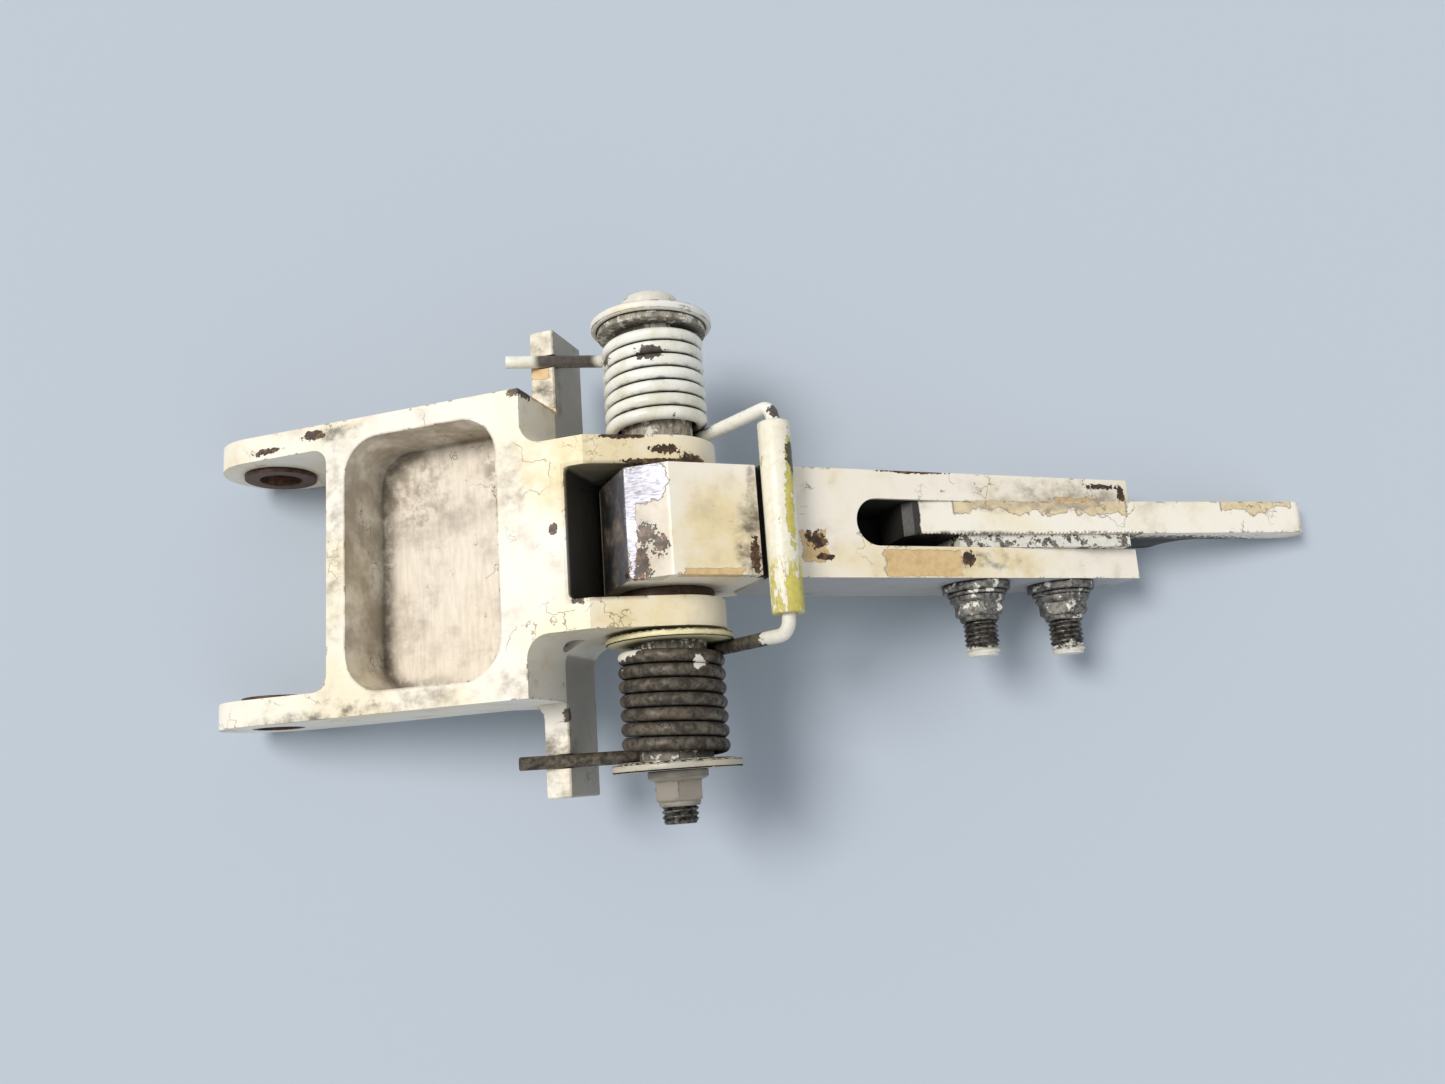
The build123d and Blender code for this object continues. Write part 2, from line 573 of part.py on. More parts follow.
with BuildPart() as clamp_wide_washers:
    for axis in clamp_axes:
        turn(axis, -ARM_HALF_WIDTH, -wide_face, WIDE_WASHER[0])
        turn(axis, -ARM_HALF_WIDTH, -wide_face, BORE_RADIUS, Mode.SUBTRACT)
    break_ends(SMALL_BREAK / 2)
save(clamp_wide_washers, "clamp_wide_washers")

with BuildPart() as clamp_thin_washers:
    for axis in clamp_axes:
        turn(axis, -wide_face, -thin_face, THIN_WASHER[0])
        turn(axis, -wide_face, -thin_face, BORE_RADIUS, Mode.SUBTRACT)
    break_ends(SMALL_BREAK / 2)
save(clamp_thin_washers, "clamp_thin_washers")

with BuildPart() as clamp_nuts:
    for axis in clamp_axes:
        turn(axis, -thin_face, -thin_face - CLAMP_NUT_FLANGE, CLAMP_NUT_FLANGE_RADIUS)
        hexagon(axis, -thin_face - CLAMP_NUT_FLANGE, -clamp_nut_face, NUT_ACROSS_FLATS)
        turn(axis, -thin_face, -clamp_nut_face, BORE_RADIUS, Mode.SUBTRACT)
save(clamp_nuts, "clamp_nuts")
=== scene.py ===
import json
from math import acos, atan2, cos, degrees, hypot, pi, radians, sin

import bmesh
import bpy
from mathutils import Matrix, Vector


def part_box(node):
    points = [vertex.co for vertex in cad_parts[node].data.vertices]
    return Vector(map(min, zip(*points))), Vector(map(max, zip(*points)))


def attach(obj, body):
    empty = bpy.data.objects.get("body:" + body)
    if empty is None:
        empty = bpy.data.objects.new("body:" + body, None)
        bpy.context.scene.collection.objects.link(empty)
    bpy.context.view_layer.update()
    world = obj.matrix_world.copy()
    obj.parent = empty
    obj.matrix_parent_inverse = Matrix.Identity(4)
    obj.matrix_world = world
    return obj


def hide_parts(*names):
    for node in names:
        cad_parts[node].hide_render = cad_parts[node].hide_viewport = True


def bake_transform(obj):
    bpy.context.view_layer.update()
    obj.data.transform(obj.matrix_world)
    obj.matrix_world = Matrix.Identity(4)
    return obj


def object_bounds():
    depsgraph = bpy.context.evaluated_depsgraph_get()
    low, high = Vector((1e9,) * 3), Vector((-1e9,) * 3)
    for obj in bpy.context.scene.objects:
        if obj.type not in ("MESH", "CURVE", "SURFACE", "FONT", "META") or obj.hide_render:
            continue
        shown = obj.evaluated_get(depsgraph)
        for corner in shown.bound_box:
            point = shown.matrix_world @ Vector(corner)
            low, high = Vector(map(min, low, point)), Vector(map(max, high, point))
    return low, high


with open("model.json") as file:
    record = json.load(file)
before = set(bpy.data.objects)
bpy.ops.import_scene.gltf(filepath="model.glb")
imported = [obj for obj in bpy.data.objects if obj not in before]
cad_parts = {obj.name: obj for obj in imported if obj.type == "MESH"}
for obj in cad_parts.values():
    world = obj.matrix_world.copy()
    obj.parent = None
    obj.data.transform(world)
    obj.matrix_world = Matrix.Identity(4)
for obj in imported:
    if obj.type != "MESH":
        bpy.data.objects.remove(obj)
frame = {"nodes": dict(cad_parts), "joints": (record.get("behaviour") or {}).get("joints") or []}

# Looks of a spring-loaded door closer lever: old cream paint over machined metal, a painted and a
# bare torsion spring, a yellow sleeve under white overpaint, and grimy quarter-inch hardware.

cad_bounds = [list(corner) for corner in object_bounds()]

MM = 0.001
nodes = frame["nodes"]
joints = {joint["name"]: joint for joint in frame["joints"]}
PIVOT = Vector(joints["arm_pivot"]["pos_m"])
TUBE = Vector(joints["tube_roll"]["pos_m"])

# Attitude of the two halves, in degrees: the bracket climbs to the pivot, and the arm falls from it.
BRACKET_TILT = 19.0
ARM_DROP = 21.43
SIDES = {"head_side": 1, "nut_side": -1}


# ---------------------------------------------------------------- shader graphs


def srgb(code):
    """Linear colour from a hexadecimal sRGB code."""
    channels = [int(code[i:i + 2], 16) / 255 for i in (0, 2, 4)]
    linear = [c / 12.92 if c <= 0.04045 else ((c + 0.055) / 1.055) ** 2.4 for c in channels]
    return (*linear, 1)


class Shader:
    """A material whose graph is built left to right, in millimetres of a piece's own axes."""

    def __init__(self, name, drop=0.0):
        self.material = bpy.data.materials.new(name)
        self.material.use_nodes = True
        self.tree = self.material.node_tree
        self.surface = self.tree.nodes["Principled BSDF"]
        place = self.add("ShaderNodeTexCoord").outputs["Object"]
        local = self.add("ShaderNodeMapping", {"Vector": place}, vector_type="TEXTURE")
        local.inputs["Location"].default_value = PIVOT
        local.inputs["Rotation"].default_value = (0, radians(drop), 0)
        local.inputs["Scale"].default_value = (MM, MM, MM)
        self.at = local.outputs["Vector"]
        axes = self.add("ShaderNodeSeparateXYZ", {"Vector": self.at})
        self.x, self.y, self.z = axes.outputs

    def add(self, kind, inputs=None, **settings):
        node = self.tree.nodes.new(kind)
        for key, value in settings.items():
            setattr(node, key, value)
        for key, value in (inputs or {}).items():
            self.feed(node.inputs[key], value)
        return node

    def feed(self, socket, value):
        if isinstance(value, bpy.types.NodeSocket):
            self.tree.links.new(value, socket)
        else:
            socket.default_value = value

    def math(self, operation, a, b=0.0, clamp=False):
        node = self.add("ShaderNodeMath", {0: a, 1: b}, operation=operation, use_clamp=clamp)
        return node.outputs[0]

    def both(self, *masks):
        result = masks[0]
        for mask in masks[1:]:
            result = self.math("MULTIPLY", result, mask)
        return result

    def either(self, *masks):
        result = masks[0]
        for mask in masks[1:]:
            result = self.math("MAXIMUM", result, mask)
        return result

    def without(self, mask, other):
        return self.both(mask, self.math("SUBTRACT", 1.0, other, clamp=True))

    def level(self, value, start, end, top=1.0):
        """Smooth step of a value from 0 at start to top at end."""
        inputs = {"Value": value, "From Min": start, "From Max": end, "To Max": top}
        node = self.add("ShaderNodeMapRange", inputs, interpolation_type="SMOOTHSTEP")
        return node.outputs["Result"]

    def blend(self, mask, a, b):
        node = self.add("ShaderNodeMix", {0: mask, 6: a, 7: b}, data_type="RGBA")
        return node.outputs[2]

    def moved(self, seed, stretch=(1, 1, 1)):
        node = self.add("ShaderNodeMapping", {"Vector": self.at})
        node.inputs["Location"].default_value = (seed * 17.3, seed * -9.1, seed * 5.7)
        node.inputs["Scale"].default_value = stretch
        return node.outputs["Vector"]

    def noise(self, size, seed=0, detail=4.0, rough=0.6, stretch=(1, 1, 1)):
        """Cloudy noise from 0 to 1 with features of about a size in millimetres."""
        inputs = {"Vector": self.moved(seed, stretch), "Scale": 1 / size}
        inputs.update({"Detail": detail, "Roughness": rough})
        return self.add("ShaderNodeTexNoise", inputs).outputs["Fac"]

    def cracks(self, size, seed=0, width=0.02):
        """Thin branching lines, where broken-up cells meet."""
        wander = {"Vector": self.moved(seed), "Scale": 3 / size, "Detail": 4.0}
        bent = self.add("ShaderNodeTexNoise", wander).outputs["Color"]
        offset = self.add("ShaderNodeVectorMath", {0: bent, 1: (size,) * 3}, operation="MULTIPLY")
        where = self.add("ShaderNodeVectorMath", {0: self.at, 1: offset.outputs[0]}, operation="ADD")
        inputs = {"Vector": where.outputs[0], "Scale": 1 / size}
        cells = self.add("ShaderNodeTexVoronoi", inputs, feature="DISTANCE_TO_EDGE")
        return self.level(cells.outputs["Distance"], width, width / 3)

    def patch(self, centre, size, ragged=0.9, seed=0, grain=1.6, soft=0.04, square=False):
        """A torn-edged or soft-edged spot, round or square, at a place in the piece's own axes."""
        away = self.add("ShaderNodeVectorMath", {0: self.at, 1: centre}, operation="SUBTRACT")
        scaled = self.add("ShaderNodeVectorMath", {0: away.outputs[0], 1: size}, operation="DIVIDE")
        if square:
            positive = self.add("ShaderNodeVectorMath", {0: scaled.outputs[0]}, operation="ABSOLUTE")
            axes = self.add("ShaderNodeSeparateXYZ", {"Vector": positive.outputs[0]})
            distance = self.either(*axes.outputs)
        else:
            length = self.add("ShaderNodeVectorMath", {0: scaled.outputs[0]}, operation="LENGTH")
            distance = length.outputs["Value"]
        centred = self.math("SUBTRACT", self.noise(grain, seed, 5, 0.65), 0.5)
        tear = self.math("MULTIPLY", centred, 2 * ragged)
        return self.level(self.math("ADD", distance, tear), 1 + soft, 1 - soft)

    def outside_of(self, centre, half, radius):
        """Distance in millimetres from a rounded rectangle seen from above, negative inside it."""
        reach = []
        for axis, middle, extent in zip((self.x, self.y), centre, half):
            offset = self.math("ABSOLUTE", self.math("SUBTRACT", axis, middle))
            reach.append(self.math("SUBTRACT", offset, extent - radius))
        beyond = [self.math("MAXIMUM", value, 0.0) for value in reach]
        squares = [self.math("MULTIPLY", value, value) for value in beyond]
        corner = self.math("SQRT", self.math("ADD", *squares))
        within = self.math("MINIMUM", self.math("MAXIMUM", *reach), 0.0)
        return self.math("SUBTRACT", self.math("ADD", corner, within), radius)

    def inside(self, low, high, soft=0.4):
        """A box in the piece's own axes, with soft sides."""
        sides = []
        for axis, start, end in zip((self.x, self.y, self.z), low, high):
            sides.append(self.level(axis, start - soft, start + soft))
            sides.append(self.level(axis, end + soft, end - soft))
        return self.both(*sides)

    def open_air(self, reach):
        """1 on open faces, falling to 0 in crevices."""
        node = self.add("ShaderNodeAmbientOcclusion", {"Distance": reach * MM}, samples=6)
        return node.outputs["AO"]

    def edges(self, radius):
        """0 on flat faces, rising towards corners and rims."""
        rounded = self.add("ShaderNodeBevel", {"Radius": radius * MM}, samples=6)
        true = self.add("ShaderNodeNewGeometry").outputs["Normal"]
        dot = self.add("ShaderNodeVectorMath", {0: rounded.outputs[0], 1: true}, operation="DOT_PRODUCT")
        return self.math("SUBTRACT", 1.0, dot.outputs["Value"], clamp=True)

    def bump(self, height, depth, under=None):
        """Normal of a surface raised by a depth in millimetres."""
        node = self.add("ShaderNodeBump", {"Height": height, "Distance": depth * MM, "Strength": 1.0})
        if under:
            self.feed(node.inputs["Normal"], under)
        return node.outputs["Normal"]

    def finish(self, colour, roughness, metallic=0.0, normal=None):
        self.feed(self.surface.inputs["Base Color"], colour)
        self.feed(self.surface.inputs["Roughness"], roughness)
        self.feed(self.surface.inputs["Metallic"], metallic)
        if normal:
            self.feed(self.surface.inputs["Normal"], normal)
        return self.material


# ---------------------------------------------------------------- colours

WHITE = srgb("f0e9dc")
CREAM = srgb("ecdfc2")
AGED = srgb("e6d3a4")
STAIN = srgb("b39f86")
# dark dirt for grime marks, also used as painted shade in corners and crevices
GRIME_AND_SHADE = srgb("4b4137")
TAN_PRIMER = srgb("dcbd8c")
BARE = srgb("807e88")
BROWN = srgb("35241a")
# near-black painted shade in recesses and crevices, with grime in places
SHADE_AND_GRIME_BLACK = srgb("0c0b0a")
GREY = srgb("988b7a")
YELLOW = srgb("d2c667")


# ---------------------------------------------------------------- paint


SOFT_SPOTS = {"smear": 0.6, "grime": 0.5, "yellow": 0.6, "soot": 0.06}
GRAINS = {"primer": 2.2, "bare": 2.2, "rust": 0.8}


def place_spots(s, marks):
    """One mask for each kind of spot.

    yellow, smear, grime and soot marks lie on the paint; soot marks are near-black painted shade, with
    grime in places.
    primer, bare and rust show through its chips.
    """
    kinds = {}
    for number, (kind, centre, size, ragged) in enumerate(marks):
        soft = SOFT_SPOTS.get(kind, 0.04)
        grain = GRAINS.get(kind, 4.0)
        square = kind in ("primer", "soot")
        kinds.setdefault(kind, []).append(s.patch(centre, size, ragged, number + 4, grain, soft, square))
    return {kind: s.either(*masks) for kind, masks in kinds.items()}


def below_paint(s, spots, gritty):
    """Colour and metal of what shows through the chips."""
    colour = s.blend(s.level(s.noise(1.1, 12, 4), 0.44, 0.52), srgb("403428"), srgb("7a6a54"))
    if "primer" in spots:
        tan = s.blend(s.level(gritty, 0.35, 0.75), TAN_PRIMER, srgb("c7a473"))
        colour = s.blend(spots["primer"], colour, tan)
    if "rust" in spots:
        rusty = s.blend(s.level(gritty, 0.45, 0.7), BROWN, srgb("8a6238"))
        colour = s.blend(spots["rust"], colour, rusty)
    if "bare" not in spots:
        return colour, 0.0
    scratched = s.noise(0.9, 13, 4, 0.6, (0.25, 3, 1))
    silver = s.blend(s.level(scratched, 0.3, 0.7), BARE, srgb("bdbbc4"))
    return s.blend(spots["bare"], colour, silver), s.both(spots["bare"], 0.45)


def old_paint(
    name, drop, base, aged, marks, aging=(0.42, 0.66), chips=0.58, crevice_shade_and_dirt=0.6, flakes=None, shade=None
):
    """Brushed old paint: yellowed, cracked, darkened in corners by painted shade and dirt, chipped at
    the edges.

    marks places spots by kind. aging is the span of noise over which base turns to aged, and chips is
    the noise above which edges are chipped. flakes gives the mask of where a second coat has come off.
    shade adds a piece's own colours and painted shade to the clean paint, from the shader and the colour
    so far.
    """
    s = Shader(name, drop)
    cloudy = s.noise(7, 2, 6, 0.62)
    gritty = s.noise(1.3, 3, 6, 0.7)
    air = s.open_air(5)
    spots = place_spots(s, marks)

    colour = s.blend(s.level(s.noise(26, 1, 3), *aging), base, aged)
    if "yellow" in spots:
        colour = s.blend(s.both(spots["yellow"], s.level(cloudy, 0.25, 0.6, 0.9)), colour, AGED)
    if shade:
        colour = shade(s, colour)
    colour = s.blend(s.level(cloudy, 0.50, 0.80, 0.5), colour, STAIN)
    scratched = s.level(s.noise(1.1, 16, 4, 0.6, (0.35, 2.4, 1)), 0.66, 0.74)
    colour = s.blend(s.both(scratched, s.level(s.noise(15, 17, 3), 0.48, 0.62), 0.55), colour, GREY)
    lost = flakes(s) if flakes else 0.0
    if flakes:
        under = s.blend(s.level(gritty, 0.35, 0.7), srgb("e2d0ae"), srgb("cdb88f"))
        colour = s.blend(lost, colour, under)
        # painted shadow: a dark brown line along the torn edge of the top coat
        torn_edge_shadow = s.math("MULTIPLY", s.without(lost, lost), 3.2, clamp=True)
        colour = s.blend(s.both(torn_edge_shadow, 0.8), colour, srgb("6e573c"))

    cracked = s.both(s.cracks(9, 5, 0.012), s.level(s.noise(13, 6, 3), 0.55, 0.62))
    crazed = s.both(s.cracks(2.6, 7, 0.03), s.level(s.noise(9, 8, 4), 0.63, 0.72), 0.6)
    lines = s.either(cracked, crazed)
    colour = s.blend(s.both(lines, 0.6), colour, srgb("5a4a38"))
    speck = s.level(s.noise(0.6, 9, 3, 0.7), 0.68, 0.74)
    specks = s.both(speck, s.level(s.noise(14, 10, 3), 0.52, 0.66))
    colour = s.blend(s.both(specks, 0.7), colour, BROWN)

    streaks = s.level(s.noise(3.2, 15, 6, 0.62, (0.8, 1, 1)), 0.36, 0.70)
    for kind, paint, strength in (("smear", GREY, 0.8), ("grime", GRIME_AND_SHADE, 0.88)):
        if kind in spots:
            colour = s.blend(s.both(spots[kind], streaks, strength), colour, paint)
    # painted shade and dirt: darker in corners and crevices where the surface is shut in, in cloudy
    # patches
    corner_shade_and_dirt = s.both(s.level(air, 0.82, 0.22), s.level(cloudy, 0.28, 0.60))
    colour = s.blend(s.both(corner_shade_and_dirt, crevice_shade_and_dirt), colour, GRIME_AND_SHADE)

    rim = s.level(s.edges(0.8), 0.03, 0.12)
    broken = s.level(s.noise(2.2, 11, 6, 0.72), chips, chips + 0.03)
    edge_chip = s.both(rim, broken, s.level(air, 0.45, 0.6))
    chip = s.either(edge_chip, *[spots[kind] for kind in ("primer", "bare", "rust") if kind in spots])
    below, metal = below_paint(s, spots, gritty)
    colour = s.blend(chip, colour, below)
    # near-black painted shade on the marked recesses, slots and grooves, with grime on the blade's side
    if "soot" in spots:
        colour = s.blend(s.both(spots["soot"], s.level(cloudy, 0.0, 0.35, 0.97)), colour, SHADE_AND_GRIME_BLACK)

    roughness = s.math("ADD", s.level(cloudy, 0.3, 0.8, 0.22), 0.36)
    roughness = s.math("ADD", roughness, s.both(s.either(corner_shade_and_dirt, lines), 0.3), clamp=True)
    thickness = s.math("SUBTRACT", 1.0, s.either(chip, s.both(lines, 0.6)))
    if flakes:
        thickness = s.math("SUBTRACT", thickness, s.both(lost, 0.9))
    skin = s.bump(thickness, 0.13)
    waves = s.math("ADD", s.noise(3.2, 14, 2), s.both(gritty, 0.14))
    return s.finish(colour, roughness, metal, s.bump(waves, 0.09, skin))


BODY_TOP = 16.8
FLOOR_TOP = 5.3
HORN_TOP = 1.6
POCKET_CENTRE = (-39.9, 0)
POCKET_HALF = (15.5, 23.3)
POCKET_CORNER = 7.0


def bracket_shade(s, colour):
    """Beige brushed pocket, dark round its rim; painted shadow by its left wall, grey painted shade on
    horn ends.
    """
    edge = s.outside_of(POCKET_CENTRE, POCKET_HALF, POCKET_CORNER)
    above = s.level(s.z, 3.2, 4.4)
    pocket = s.both(s.level(edge, 0.1, -0.5), above)
    brushed = s.noise(2.0, 31, 5, 0.65, (2.6, 0.35, 1))
    cloud = s.noise(9, 32, 6, 0.62)
    colour = s.blend(s.both(pocket, 0.75), colour, srgb("e9dcca"))
    colour = s.blend(s.both(pocket, s.level(brushed, 0.3, 0.75, 0.5)), colour, srgb("c3b5a3"))
    colour = s.blend(s.both(pocket, s.level(cloud, 0.44, 0.72, 0.7)), colour, srgb("998b7b"))
    smears = s.either(
        s.patch((-50, 15, FLOOR_TOP), (8, 8, 4), 1.0, 34, 4.0, 0.6),
        s.patch((-28, 18, FLOOR_TOP + 3), (5, 7, 8), 1.2, 35, 4.0, 0.6),
        s.patch((-28, -18, FLOOR_TOP + 1), (5, 5, 4), 1.3, 36, 4.0, 0.6),
    )
    blotches = s.level(s.noise(3.0, 37, 6, 0.68), 0.40, 0.62, 0.75)
    colour = s.blend(s.both(pocket, smears, blotches), colour, srgb("857868"))
    rim = s.level(s.math("ABSOLUTE", s.math("ADD", edge, 0.2)), 0.75, 0.1)
    colour = s.blend(s.both(rim, above, s.level(cloud, 0.30, 0.62, 0.8)), colour, srgb("8d7d66"))
    # painted shadow on the pocket floor along the foot of its left wall, in patches
    left_wall_shadow = s.both(pocket, s.level(edge, -3.8, -1.2), s.level(s.z, 12, 6), s.level(s.x, -34, -50))
    patchy_shade_and_grime = s.level(s.noise(4, 33, 6, 0.66), 0.30, 0.62, 0.9)
    colour = s.blend(s.both(left_wall_shadow, patchy_shade_and_grime), colour, srgb("6d6153"))
    # painted shade: the horns' end faces, turned away from the key light, are painted grey
    horn_end_shade = s.both(s.inside((-19.9, -46, -12), (-19.0, 46, 2.2), 0.2), 0.75)
    return s.blend(horn_end_shade, colour, s.blend(cloud, srgb("5e5850"), srgb("a59e93")))


def bracket_paint():
    marks = [
        ("rust", (-13.7, 0.9, BODY_TOP), (0.7, 1.0, 2), 1.0),
        ("rust", (-9.6, -12.0, 15), (1.6, 0.6, 3), 1.2),
        ("rust", (3.4, 12.0, 9), (6.5, 0.5, 7), 1.3),
        ("rust", (5.0, 14.2, 10), (2.4, 0.8, 5), 1.7),
        ("rust", (8.5, 12.6, 8), (1.6, 1.0, 5), 1.5),
        ("rust", (-2, 16.6, 12), (4.0, 0.5, 5), 1.5),
        ("rust", (-73, 24, 16), (3, 0.6, 3), 1.5),
        ("rust", (-62, 25.5, 16), (2.4, 0.9, 3), 1.5),
        ("rust", (-20.0, 26.9, 15), (2.0, 0.9, 3), 1.4),
        ("rust", (-19.4, -29.5, 3), (1.5, 1.5, 2.4), 0.7),
        ("primer", (-19.6, 28.5, 8), (2.4, 1.6, 6), 0.8),
        ("primer", (-22.6, 35.5, HORN_TOP), (1.8, 1.2, 3), 0.9),
        ("grime", (-22, 31, HORN_TOP), (3.6, 5.5, 3), 0.9),
        ("grime", (-22, -34.5, HORN_TOP), (3.4, 2.6, 3), 1.0),
        ("smear", (-22, 41, HORN_TOP), (3.0, 3.0, 3), 1.3),
        ("smear", (-22, -40, HORN_TOP), (4, 4.5, 3), 1.2),
        ("grime", (-66, -27.0, BODY_TOP), (10, 1.2, 1.2), 1.3),
        ("grime", (-57, 25, BODY_TOP), (5, 1.4, 1.5), 1.5),
        ("grime", (-52, -25.6, BODY_TOP), (6, 1.0, 1.5), 1.5),
        ("smear", (-21, -24, BODY_TOP), (4.5, 2.6, 3), 1.4),
        ("smear", (-21.4, 10, BODY_TOP), (2.6, 6, 3), 1.2),
        ("smear", (-58, 6, BODY_TOP), (2.5, 17, 3), 1.4),
        ("smear", (-45, -25.5, BODY_TOP), (14, 2.0, 1.5), 1.5),
        # near-black painted shade in the recess between the fork's tines
        ("soot", (-5.5, 0, 0), (6.2, 11.75, 16.3), 0.0),
        ("yellow", (-10, 12, BODY_TOP), (9, 9, 5), 0.7),
        ("yellow", (0, 14, 11), (12, 5, 8), 0.5),
        ("yellow", (-3, -14, 12), (8, 5, 6), 0.7),
    ]
    return old_paint("bracket_paint", -BRACKET_TILT, WHITE, CREAM, marks, shade=bracket_shade)


HUB_TOP = 17.8
ARM_TOP = 17.0


def arm_shade(s, colour):
    """The cheek on the nuts' side is dull blue-grey painted shade over dirt, and the hub's heel is dark
    grey.
    """
    # painted shade on the cheek on the nuts' side, bluish like a painted reflection of the floor, over
    # dirt
    cheek_shade_and_dirt = s.level(s.y, -9.82, -9.92)
    colour = s.blend(s.both(cheek_shade_and_dirt, 0.85), colour, srgb("8f929b"))
    # painted shade: the hub's bevel faces the key light and is painted a darker cream
    bevel = s.both(s.level(s.x, -5.0, -5.6), s.level(s.z, 12, 13))
    colour = s.blend(s.both(bevel, 0.9), colour, s.blend(s.noise(5, 41), srgb("d6c9b4"), srgb("c4b9aa")))
    heel = s.both(s.level(s.x, -10.9, -11.1), s.level(s.z, 13.4, 12.4))
    depth = s.level(s.z, 0, 13)
    return s.blend(heel, colour, s.blend(depth, srgb("121110"), srgb("5c5b60")))


def arm_paint():
    marks = [
        ("bare", (-8.2, 6.6, 15.2), (4.2, 3.6, 4), 0.4),
        ("bare", (-10.6, 1.0, 13.4), (0.9, 10, 1.6), 0.7),
        ("rust", (-8.6, -2.2, 15.3), (1.5, 1.6, 3), 1.9),
        ("rust", (-6.6, -4.4, 16.4), (1.0, 1.5, 3), 1.9),
        ("rust", (-9.3, -6.6, 14.4), (1.0, 2.6, 3), 1.9),
        ("rust", (-9.9, -8.6, 13.6), (2.2, 1.0, 3), 1.5),
        ("rust", (9.8, -6.5, HUB_TOP), (0.8, 3.6, 2), 1.6),
        ("grime", (9.2, -4.0, HUB_TOP), (2.6, 8.0, 2), 0.9),
        ("grime", (9.8, 5, HUB_TOP), (0.9, 4, 2), 1.2),
        ("rust", (20.5, -2.6, ARM_TOP), (0.7, 1.0, 2), 1.2),
        ("rust", (23.4, -6.2, ARM_TOP), (1.9, 0.6, 2), 1.4),
        ("rust", (22.2, -3.4, ARM_TOP), (1.6, 1.4, 2), 1.8),
        ("rust", (53.2, -6.2, ARM_TOP), (1.5, 1.3, 2), 1.6),
        ("rust", (86, 8.4, ARM_TOP), (4, 0.5, 3), 1.4),
        ("rust", (90.5, 7.0, ARM_TOP), (0.8, 1.6, 3), 1.4),
        ("rust", (43, 9.8, ARM_TOP), (6, 0.35, 2), 1.4),
        ("primer", (1.8, -9.2, HUB_TOP), (5.6, 0.7, 2), 0.6),
        ("primer", (43.4, -7.2, ARM_TOP), (8.0, 2.4, 2), 0.28),
        ("primer", (21.4, -4.4, ARM_TOP), (2.4, 2.8, 2), 0.9),
        ("primer", (79, 5.4, ARM_TOP), (5, 0.5, 2), 1.3),
        ("grime", (57, -6.6, ARM_TOP), (6, 1.4, 2), 1.5),
        ("smear", (76, 6.5, ARM_TOP), (14, 2.6, 2), 1.4),
        ("smear", (-9.5, -4, 15), (2.4, 5.5, 2.6), 1.4),
        # near-black painted shade in the groove beyond the hub and inside the slot
        ("soot", (11.6, 0, ARM_TOP - 0.7), (0.75, 14, 1.3), 0.1),
        ("soot", (40, 0.25, 8.4), (10, 4.6, 7.9), 0.0),
        ("soot", (75, 0.25, 3), (25, 4.6, 11.5), 0.0),
        ("yellow", (3, -3, HUB_TOP), (8, 8, 4), 0.7),
        ("yellow", (50, -7, ARM_TOP), (20, 4, 4), 0.9),
    ]
    look = {"aging": (0.48, 0.80), "shade": arm_shade}
    return old_paint("arm_paint", ARM_DROP, srgb("f1e8da"), AGED, marks, **look)


def blade_flakes(s):
    """The top coat has come off along the blade's edge towards the bolt heads, at its back and nose."""
    torn = s.math("MULTIPLY", s.math("SUBTRACT", s.noise(7, 21, 5, 0.6), 0.5), 9)
    line = s.math("ADD", s.y, torn)
    back = s.both(s.level(line, 2.0, 2.4), s.inside((51, -9, 0), (88, 9, 30), 0.3))
    nose = s.both(s.level(line, 2.5, 2.9), s.inside((110, -9, 0), (127, 9, 30), 0.3))
    return s.either(back, nose)


def blade_paint():
    marks = [
        ("rust", (103, 4.5, 17), (14, 0.45, 2.5), 1.4),
        ("rust", (108, -1.5, 16), (20, 0.5, 4), 1.5),
        ("rust", (118, 3.6, 18), (3.5, 0.6, 5), 1.4),
        # near-black painted shade on the blade's root inside the slot, and painted shade with grime
        # along its lower side
        ("soot", (41.6, 1.5, 12), (2.4, 6, 9), 0.35),
        ("soot", (60, -1.9, 9), (60, 0.35, 7.5), 0.2),
        ("grime", (52, -1.6, 13), (11, 0.6, 8), 0.8),
        ("smear", (75, 3.8, 17), (24, 1.2, 4), 1.4),
    ]
    look = {"chips": 0.54, "flakes": blade_flakes}
    return old_paint("blade_paint", ARM_DROP, WHITE, CREAM, marks, **look)


def white_hardware(name, base, chips=0.56, crevice_shade_and_dirt=0.8):
    """Thick brushed paint over small steel pieces."""
    return old_paint(name, ARM_DROP, base, AGED, [], aging=(0.55, 0.9), chips=chips, crevice_shade_and_dirt=crevice_shade_and_dirt)


